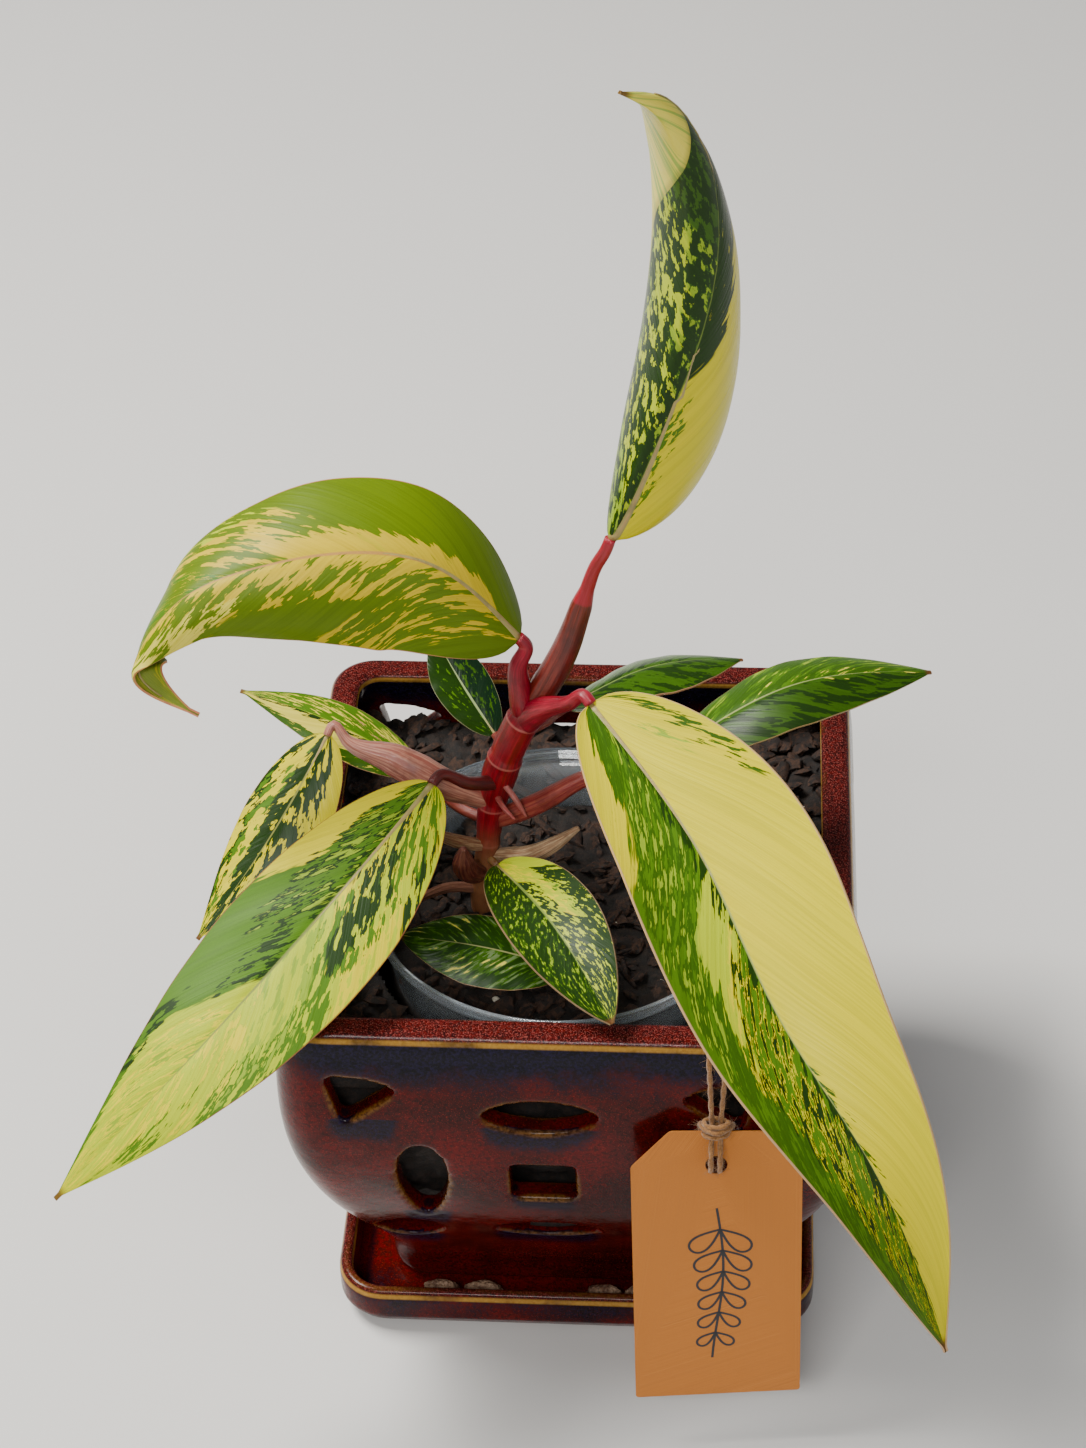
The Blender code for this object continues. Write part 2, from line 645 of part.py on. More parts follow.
def make_top_petiole():
    """The newest stalk goes on where the stem ends."""
    end = CROWN + Vector(STEM[-1]) + Vector((0, 0, GAP))
    before = CROWN + Vector(STEM[-2]) + Vector((0, 0, GAP))
    ahead = (end - before).normalized()
    points = [end + ahead * GAP * 2, CROWN + Vector((0.0285, 0.008, 0.102)),
              CROWN + Vector((0.036, 0.008, 0.127)), CROWN + Vector((0.0395, 0.007, 0.139)),
              before_foot("leaf_top", 0.005), before_foot("leaf_top")]
    mat = material("petiole_top", (0.38, 0.07, 0.09), 0.4)
    tube("petiole_top", points, [0.0046, 0.0044, 0.0040, 0.0038, 0.0022, 0.0020, 0.0018], mat, 18)


def make_dried_parts():
    """Scaly bud and dried sheaths round the foot of the stem."""
    brown = (0.30, 0.18, 0.10)
    saddle = bpy.data.objects["stem_space"]
    pieces = {
        "bud": ([(0.0008, 0.0010, 0.013), (-0.0042, -0.0055, 0.021), (-0.0045, -0.0065, 0.031)],
                [0.0026, 0.0038, 0.0036, 0.0012]),
        "dried_sheath_right": ([(0.004, 0.004, 0.018), (0.018, -0.003, 0.026), (0.033, -0.002, 0.037)],
                               [0.0022, 0.0030, 0.0026, 0.0010]),
        "dried_sheath_left": ([(0.003, 0.004, 0.022), (-0.008, -0.001, 0.029), (-0.017, -0.004, 0.037)],
                              [0.0016, 0.0022, 0.0020, 0.0010]),
        "old_petiole": ([(0.0, 0.0, 0.006), (-0.011, -0.003, 0.009), (-0.020, -0.006, 0.007)],
                        [0.0018, 0.0017, 0.0016, 0.0014]),
    }
    for name, (points, radii) in pieces.items():
        obj = tube(name, [CROWN + Vector(p) for p in points], radii, material(name, brown, 0.7), 9)
        cut(obj, saddle)


# ------------------------------------------------------------------ stones, tag and twine
def make_stones():
    """Pumice lumps lying in the saucer's front channel."""
    pale = material("pumice", (0.62, 0.55, 0.50), 0.85)
    foot = pot_half(0.012)
    middle = -(foot + SAUCER_HALF - SAUCER_WALL) / 2
    sizes = [(-0.046, 0.0068), (-0.032, 0.0075), (0.010, 0.0066), (0.022, 0.0055)]
    for i, (x, length) in enumerate(sizes):
        bm = bmesh.new()
        bmesh.ops.create_icosphere(bm, subdivisions=2, radius=1.0)
        for v in bm.verts:
            lump = 1 + 0.10 * math.sin(5 * v.co.x + i) * math.cos(4 * v.co.z + 2 * i)
            v.co = Vector((v.co.x * length, v.co.y * 0.0030, v.co.z * 0.0034)) * lump
        low = min(v.co.z for v in bm.verts)
        place = Vector((x, middle, SAUCER_FLOOR + GAP - low))
        bmesh.ops.translate(bm, verts=bm.verts, vec=place)
        add_mesh("pumice_%d" % (i + 1), bm, pale, smooth=80.0)


def make_tag():
    """A clipped shipping tag that leans out from the front wall."""
    card = material("kraft_card", (0.42, 0.27, 0.14), 0.85)
    half, clip = TAG_WIDTH / 2, TAG_CLIP
    outline = [(-half, -TAG_LENGTH), (half, -TAG_LENGTH), (half, -clip * 1.1),
               (half - clip, 0.0), (-half + clip, 0.0), (-half, -clip * 1.1)]
    data = bpy.data.curves.new("hang_tag", "CURVE")
    data.dimensions = "2D"
    data.fill_mode = "BOTH"
    data.extrude = TAG_THICK / 2
    hole = []
    for i in range(16):
        a = 2 * math.pi * i / 16
        hole.append((TAG_HOLE_RADIUS * math.cos(a), TAG_HOLE_RADIUS * math.sin(a) - TAG_HOLE_DROP))
    for ring in (outline, hole):
        spline = data.splines.new("POLY")
        spline.points.add(len(ring) - 1)
        for i, (x, y) in enumerate(ring):
            spline.points[i].co = (x, y, 0.0, 1.0)
        spline.use_cyclic_u = True
    data.materials.append(card)
    tag = bpy.data.objects.new("hang_tag", data)
    PLANT.objects.link(tag)
    tag.rotation_mode = "YXZ"
    tag.rotation_euler = (math.radians(90 - TAG_LEAN), 0.0, 0.0)
    tag.rotation_euler = (math.radians(90 - TAG_LEAN), math.radians(TAG_TURN), 0.0)
    top = POT_RIM_Z - 0.0306
    tag.location = (0.0475, -pot_half(top - POT_BASE_Z) - TAG_CLEAR, top)
    baked(tag)


# Half of the route, in metres from the rim's front edge at the tag's own x: out of the bark, over
# the rim, down into the tag's hole, up behind the tag and round in front of both strands.
TWINE_HALF = [
    (-0.0030, 0.0125, -0.0220), (-0.0030, 0.0125, -0.0120), (-0.0030, 0.0121, -0.0040),
    (-0.0030, 0.0092, 0.0019), (-0.0030, 0.0045, 0.0026), (-0.0028, -0.0008, 0.0020),
    (-0.0026, -0.0042, -0.0030), (-0.0022, -0.0056, -0.0100), (-0.0018, -0.0072, -0.0180),
    (-0.0014, -0.0087, -0.0265), (-0.0014, -0.0112, -0.0330), (-0.0014, -0.0145, -0.0380),
    (-0.0014, -0.0142, -0.0422), (-0.0016, -0.0102, -0.0441), (-0.0030, -0.0068, -0.0422),
    (-0.0045, -0.0056, -0.0380), (-0.0050, -0.0052, -0.0330), (-0.0050, -0.0066, -0.0285),
    (-0.0038, -0.0104, -0.0266),
]
TWINE_ROUTE = TWINE_HALF + [(0.0, -0.0124, -0.0264)] + [(-x, y, z) for x, y, z in reversed(TWINE_HALF)]


def make_twine():
    jute = material("jute", (0.45, 0.30, 0.17), 0.9)
    start = Vector((0.0475, -POT_HALF, POT_RIM_Z))
    tube("twine", [start + Vector(p) for p in TWINE_ROUTE], [TWINE_RADIUS, TWINE_RADIUS], jute, 66)


make_saucer()
make_outer_pot()
make_nursery_pot()
make_potting_mix()
make_bark_fill()
make_plant()
make_dried_parts()
make_stones()
make_tag()
make_twine()
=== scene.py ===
"""Looks of the potted philodendron: blades, glaze, soil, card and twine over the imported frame."""
import math
import random
from contextlib import contextmanager

import bmesh
import bpy
import numpy as np
from mathutils import Matrix, Vector, noise


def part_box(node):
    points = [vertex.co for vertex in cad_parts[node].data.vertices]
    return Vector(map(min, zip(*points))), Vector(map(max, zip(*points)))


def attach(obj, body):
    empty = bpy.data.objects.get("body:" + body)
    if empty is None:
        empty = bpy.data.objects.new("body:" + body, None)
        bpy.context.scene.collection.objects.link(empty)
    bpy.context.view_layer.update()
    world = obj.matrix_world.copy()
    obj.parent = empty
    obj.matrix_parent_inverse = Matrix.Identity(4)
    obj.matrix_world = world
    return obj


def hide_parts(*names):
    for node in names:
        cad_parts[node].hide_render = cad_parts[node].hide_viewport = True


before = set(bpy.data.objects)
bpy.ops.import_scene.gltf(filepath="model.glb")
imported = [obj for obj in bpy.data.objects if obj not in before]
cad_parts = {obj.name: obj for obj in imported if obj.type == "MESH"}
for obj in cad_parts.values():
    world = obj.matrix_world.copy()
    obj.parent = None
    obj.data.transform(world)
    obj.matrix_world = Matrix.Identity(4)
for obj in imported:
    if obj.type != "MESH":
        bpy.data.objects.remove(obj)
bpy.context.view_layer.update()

# ------------------------------------------------------------------ places read from the frame
NURSERY_LOW, NURSERY_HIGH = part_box("nursery_pot")
NURSERY_X = (NURSERY_LOW.x + NURSERY_HIGH.x) / 2
NURSERY_Y = (NURSERY_LOW.y + NURSERY_HIGH.y) / 2
NURSERY_RADIUS = (NURSERY_HIGH.x - NURSERY_LOW.x) / 2
SAUCER_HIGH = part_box("saucer")[1]
FILL_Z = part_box("potting_mix")[1].z
POT_BASE_Z, POT_RIM_Z = (corner.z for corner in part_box("outer_pot"))
POT_TALL = POT_RIM_Z - POT_BASE_Z
CROWN = Vector((NURSERY_X - 0.027, NURSERY_Y + 0.007, FILL_Z))  # where the stem leaves the mix

POT_HALF = 0.090        # half the outer pot's width over its rim
POT_LIP = 0.010         # width of its flat rim
POT_WALL = 0.008
POT_FLOOR = 0.008
POT_CORNER = 0.014      # radius of its upright corners
SAUCER_WALL = 0.005
SAUCER_FLOOR = 0.006
BED_DROP = 0.0022       # the mix's crumbs lie about this far under the fill's top
MERGE = 0.00001         # points closer than this are one

random.seed(11)


# ------------------------------------------------------------------ small helpers
def link(obj):
    bpy.context.scene.collection.objects.link(obj)
    return obj


def finish_piece(obj, slot, *nodes):
    """A piece that rides on the one body and stands for CAD nodes, which it hides; slot is not used."""
    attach(obj, "root")
    if nodes:
        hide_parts(*nodes)
    return obj


def object_of(name, mesh, mats, smooth=True):
    for mat in mats:
        mesh.materials.append(mat)
    if smooth:
        mesh.shade_smooth()
    return link(bpy.data.objects.new(name, mesh))


def mesh_object(name, points, faces, mats, uvs=None, smooth=True):
    """A linked object from points and faces, with one UV per point."""
    mesh = bpy.data.meshes.new(name)
    mesh.from_pydata([tuple(p) for p in points], [], faces)
    if uvs is not None:
        layer = mesh.uv_layers.new(name="UVMap")
        index = np.zeros(len(mesh.loops), np.int64)
        mesh.loops.foreach_get("vertex_index", index)
        layer.data.foreach_set("uv", np.asarray(uvs, np.float32)[index].ravel())
    return object_of(name, mesh, mats, smooth)


@contextmanager
def editing(mesh):
    """A bmesh of the mesh, written back when the block ends."""
    bm = bmesh.new()
    bm.from_mesh(mesh)
    yield bm
    bm.to_mesh(mesh)
    bm.free()


def evaluated_mesh(obj):
    bpy.context.view_layer.update()
    graph = bpy.context.evaluated_depsgraph_get()
    return bpy.data.meshes.new_from_object(obj.evaluated_get(graph))


def applied(obj):
    """The object with its modifiers applied."""
    mesh = evaluated_mesh(obj)
    obj.modifiers.clear()
    obj.data = mesh
    return obj


def modify(obj, kind, **settings):
    modifier = obj.modifiers.new(kind.lower(), kind)
    for key, value in settings.items():
        setattr(modifier, key, value)


def grid_faces(rows, columns, start=0, wrap=False):
    """Quads between the rows of a grid of points; wrap closes each row on itself."""
    faces = []
    for i in range(rows - 1):
        low, high = start + i * columns, start + (i + 1) * columns
        for j in range(columns if wrap else columns - 1):
            k = (j + 1) % columns
            faces.append((low + j, low + k, high + k, high + j))
    return faces


def tube_faces(rows, columns):
    """Quads round a tube of rings, and a face at each end."""
    ends = [tuple(reversed(range(columns))), tuple(range((rows - 1) * columns, rows * columns))]
    return grid_faces(rows, columns, wrap=True) + ends


def angles(count):
    return [2 * math.pi * k / count for k in range(count)]


def ease(a, b, rise_a, rise_b, t):
    """A cubic from a to b with these slopes at its ends."""
    t2, t3 = t * t, t * t * t
    start, end = a * (2 * t3 - 3 * t2 + 1), b * (3 * t2 - 2 * t3)
    return start + rise_a * (t3 - 2 * t2 + t) + end + rise_b * (t3 - t2)


def smooth_path(points, count):
    """Evenly spaced points on a smooth curve through the given ones."""
    pts = np.array([tuple(p) for p in points], float)
    if len(pts) == 2:
        return pts[0] + (pts[1] - pts[0]) * np.linspace(0, 1, count)[:, None]
    gaps = np.linalg.norm(np.diff(pts, axis=0), axis=1)[:, None]
    rise = np.diff(pts, axis=0) / gaps
    inner = (rise[:-1] * gaps[1:] + rise[1:] * gaps[:-1]) / (gaps[1:] + gaps[:-1])
    slopes = np.vstack([rise[0] * 1.5 - inner[0] * 0.5, inner, rise[-1] * 1.5 - inner[-1] * 0.5])
    fine = []
    for i, gap in enumerate(gaps):
        t = np.linspace(0, 1, 60, endpoint=i == len(gaps) - 1)[:, None]
        fine.append(ease(pts[i], pts[i + 1], slopes[i] * gap, slopes[i + 1] * gap, t))
    fine = np.vstack(fine)
    run = np.r_[0, np.cumsum(np.linalg.norm(np.diff(fine, axis=0), axis=1))]
    want = np.linspace(0, run[-1], count)
    return np.stack([np.interp(want, run, fine[:, c]) for c in range(3)], 1)


def unit(v):
    return v / np.maximum(np.linalg.norm(v, axis=-1, keepdims=True), 1e-12)


def sweep(name, path, section, mat, sides=24):
    """A closed tube along a path. section(t, angle) gives the radius; UVs are angle and t."""
    path = np.asarray(path, float)
    count = len(path)
    ahead = unit(np.gradient(path, axis=0))
    side = np.cross(ahead[0], (0.3, 0.9, 0.1))
    points, uvs = [], []
    for i in range(count):
        side = unit(side - ahead[i] * np.dot(side, ahead[i]))
        up = np.cross(ahead[i], side)
        t = i / (count - 1)
        for k, a in enumerate(angles(sides)):
            points.append(path[i] + (side * math.cos(a) + up * math.sin(a)) * section(t, a))
            uvs.append((k / sides, t))
    return mesh_object(name, points, tube_faces(count, sides), [mat], uvs)


# ------------------------------------------------------------------ node helpers
class Nodes:
    """A material's node tree, or a group's. A method adds a node and gives back its output."""

    def __init__(self, name, tree=None):
        if tree is None:
            self.mat = bpy.data.materials.new(name)
            self.mat.use_nodes = True
            tree = self.mat.node_tree
        self.tree = tree

    def feed(self, node, inputs):
        """Inputs linked to sockets or set to values."""
        for key, value in inputs.items():
            if isinstance(value, bpy.types.NodeSocket):
                self.tree.links.new(value, node.inputs[key])
            else:
                node.inputs[key].default_value = value

    def add(self, kind, inputs=None, **settings):
        node = self.tree.nodes.new("ShaderNode" + kind)
        for key, value in settings.items():
            setattr(node, key, value)
        self.feed(node, inputs or {})
        return node

    def math(self, operation, a, b=0.0, c=0.0):
        return self.add("Math", {0: a, 1: b, 2: c}, operation=operation).outputs[0]

    def sub(self, a, b):
        return self.math("SUBTRACT", a, b)

    def mul(self, a, b):
        return self.math("MULTIPLY", a, b)

    def mul_add(self, a, b, c):
        return self.math("MULTIPLY_ADD", a, b, c)

    def gap(self, a, b):
        return self.math("ABSOLUTE", self.sub(a, b))

    def shaken(self, value, cloud, share):
        """The value moved up and down by a noise."""
        return self.mul_add(self.sub(cloud, 0.5), share, value)

    def ramp(self, value, low, high, to_low=0.0, to_high=1.0):
        """The value mapped smoothly from low..high; low may be the larger."""
        ins = {"Value": value, "From Min": low, "From Max": high, "To Min": to_low, "To Max": to_high}
        return self.add("MapRange", ins, interpolation_type="SMOOTHSTEP").outputs["Result"]

    def mix(self, fac, a, b, blend="MIX"):
        a, b = ((*c, 1.0) if isinstance(c, tuple) else c for c in (a, b))
        return self.add("Mix", {0: fac, 6: a, 7: b}, data_type="RGBA", blend_type=blend).outputs[2]

    def paint(self, color, value, low, high, tint, share=1.0, blend="MIX"):
        """The tint laid over a colour as the value goes from low to high."""
        return self.mix(self.ramp(value, low, high, 0.0, share), color, tint, blend)

    def noise(self, vector, scale, detail=3.0, rough=0.55, distortion=0.0):
        ins = {"Vector": vector, "Scale": scale, "Detail": detail, "Roughness": rough,
               "Distortion": distortion}
        return self.add("TexNoise", ins).outputs["Fac"]

    def cells(self, scale, output):
        return self.add("TexVoronoi", {"Vector": self.spot(), "Scale": scale}).outputs[output]

    def spot(self):
        """Object-space position."""
        return self.add("TexCoord").outputs["Object"]

    def uv(self):
        return self.add("UVMap", uv_map="UVMap").outputs[0]

    def split(self, vector):
        return self.add("SeparateXYZ", {0: vector}).outputs

    def joined(self, x, y, z):
        return self.add("CombineXYZ", {0: x, 1: y, 2: z}).outputs[0]

    def attribute(self, name):
        return self.add("Attribute", attribute_name=name).outputs["Fac"]

    def finish(self, color, rough, bump=None, **others):
        """The shader's inputs; bump is a height, its strength and its distance."""
        ins = {"Base Color": color, "Roughness": rough}
        ins.update((key.replace("_", " "), value) for key, value in others.items())
        if bump:
            ins["Normal"] = self.add("Bump", dict(zip(("Height", "Strength", "Distance"), bump))).outputs[0]
        self.feed(self.tree.nodes["Principled BSDF"], ins)
        return self.mat


def srgb(r, g, b):
    """A colour from its 0 to 255 screen values."""
    shares = [c / 255 for c in (r, g, b)]
    return tuple(c / 12.92 if c <= 0.04045 else ((c + 0.055) / 1.055) ** 2.4 for c in shares)


# ------------------------------------------------------------------ leaf colour
YELLOW = (0.64, 0.55, 0.0)
CREAM = (0.66, 0.57, 0.07)
LIME = (0.42, 0.50, 0.004)
PALE_GREEN = (0.26, 0.38, 0.014)
MID_GREEN = (0.068, 0.168, 0.003)
GREEN = (0.036, 0.098, 0.003)
OLIVE = (0.105, 0.170, 0.001)
DARK = (0.011, 0.036, 0.002)
DEEP = (0.004, 0.018, 0.006)
ORANGE_CREAM = (0.58, 0.42, 0.012)
PINK = (0.45, 0.22, 0.12)
DRY_TIP = srgb(96, 56, 28)

LONG_LEAF = 0.24        # the streaks' counts are for a blade of this length


def patch_group():
    """Node group: paints one patch of colour on a blade, its ends running along the veins."""
    group = bpy.data.node_groups.new("leaf_patch", "ShaderNodeTree")
    floats = ("Across", "Vein", "Signed", "Speckle", "Side", "From U", "To U", "From V", "To V", "Density")
    for name in ("Base", "Patch", *floats):
        kind = "NodeSocketFloat" if name in floats else "NodeSocketColor"
        group.interface.new_socket(name, in_out="INPUT", socket_type=kind)
    group.interface.new_socket("Color", in_out="OUTPUT", socket_type="NodeSocketColor")
    ins = group.nodes.new("NodeGroupInput").outputs
    out = group.nodes.new("NodeGroupOutput")
    n = Nodes("leaf_patch", group)
    inside = n.sub(ins["Across"], ins["From U"])
    for high, low in (("To U", "Across"), ("Vein", "From V"), ("To V", "Vein")):
        inside = n.math("MINIMUM", inside, n.sub(ins[high], ins[low]))
    region = n.ramp(inside, -0.004, 0.010)
    half = n.ramp(n.mul(ins["Signed"], ins["Side"]), -0.004, 0.004)
    dots = n.ramp(n.sub(ins["Speckle"], n.sub(1.0, ins["Density"])), -0.025, 0.025)
    n.feed(out, {0: n.mix(n.mul(n.mul(region, half), dots), ins["Base"], ins["Patch"])})
    return group


PATCH = patch_group()


def leaf_material(name, look, under):
    """A waxy variegated blade. UV runs 0..1 from left margin to right and from foot to tip."""
    n = Nodes(name + ("_under" if under else "_face"))
    split = n.split(n.uv())
    signed = n.mul_add(split["X"], 2.0, -1.0)
    across = n.math("ABSOLUTE", signed)
    along = split["Y"]
    vein = n.mul_add(across, -look["slant"], along)
    shift = n.mul_add(n.math("SIGN", signed), 3.7, look["seed"])
    length = look["length"] / LONG_LEAF

    def streaks(per_vein, per_across, offset=0.0, detail=3.0):
        spot = n.joined(n.mul(vein, per_vein * length), n.mul(across, per_across),
                        n.math("ADD", shift, offset))
        return n.noise(spot, 1.0, detail, 0.6)

    speckle = n.ramp(streaks(*look["grain"]), 0.30, 0.70)
    jag = streaks(60.0, 3.0, 9.0)
    wander = streaks(9.0, 2.0, 20.0, 2.0)
    near_u = n.shaken(n.shaken(across, wander, 0.2), jag, 0.50)
    near_v = n.shaken(n.shaken(vein, wander, 0.06), jag, 0.10)
    color = n.mix(n.ramp(signed, -0.004, 0.004), *look["base"])
    for tint, *numbers in look["patches"]:
        node = n.add("Group", node_tree=PATCH)
        n.feed(node, dict(zip(("Side", "From U", "To U", "From V", "To V", "Density"), numbers)))
        n.feed(node, {"Base": color, "Patch": (*tint, 1.0), "Across": near_u, "Vein": near_v,
                      "Signed": signed, "Speckle": speckle})
        color = node.outputs[0]
    lines = streaks(125.0, 1.0, 40.0, 2.0)
    broad = streaks(14.0, 1.0, 60.0, 1.0)
    color = n.paint(color, lines, 0.40, 0.64, (0.70, 0.70, 0.34), 0.42, "MULTIPLY")
    color = n.paint(color, broad, 0.35, 0.70, (0.78, 0.84, 0.62), 0.30, "MULTIPLY")
    rib_wide = n.mul_add(along, -look["rib"], look["rib"])
    color = n.paint(color, n.sub(rib_wide, across), -0.006, 0.010, look["rib_color"], 0.85)
    if "rolled" in look:
        color = rolled_margin(n, color, signed, along, lines, look["rolled"])
    color = n.paint(color, along, 0.968, 0.990, DRY_TIP, 0.9)
    color = n.paint(color, across, 0.982, 0.996, look["margin"], 0.85)
    rough = n.ramp(broad, 0.3, 0.7, look["gloss"] - 0.04, look["gloss"] + 0.06)
    if under:
        color, rough = n.mix(0.55, color, look["under"]), 0.55
    height = n.mul_add(lines, 0.7, n.mul(broad, 0.6))
    return n.finish(color, rough, (height, 0.35, 0.0006), Subsurface_Weight=0.08,
                    Subsurface_Radius=(0.6, 0.8, 0.1), Subsurface_Scale=0.0015, Specular_IOR_Level=0.17)


def rolled_margin(n, color, signed, along, lines, tint):
    """The pale underside that shows where a margin rolls over toward the tip, darkened by painted shade
    next to the roll's edge.
    """
    past = n.sub(n.ramp(along, 0.60, 1.00, -0.68, 0.26), signed)
    pale = n.paint(tint, lines, 0.48, 0.60, (0.30, 0.40, 0.06))
    # painted shade: the underside is darkened just past the roll's edge
    pale = n.paint(pale, past, 0.10, 0.0, (0.10, 0.10, 0.02), 0.45)
    return n.paint(color, past, -0.004, 0.006, pale)


# A look's own values go over these: slant of the veins, gloss, midrib, grain of the flecks, colours.
LOOK = {"slant": 0.26, "gloss": 0.34, "rib": 0.035, "grain": (84.0, 8.0), "rib_color": PALE_GREEN,
        "margin": PINK, "under": (0.52, 0.50, 0.24)}
ALL = (-0.2, 1.2, -0.4, 1.2)

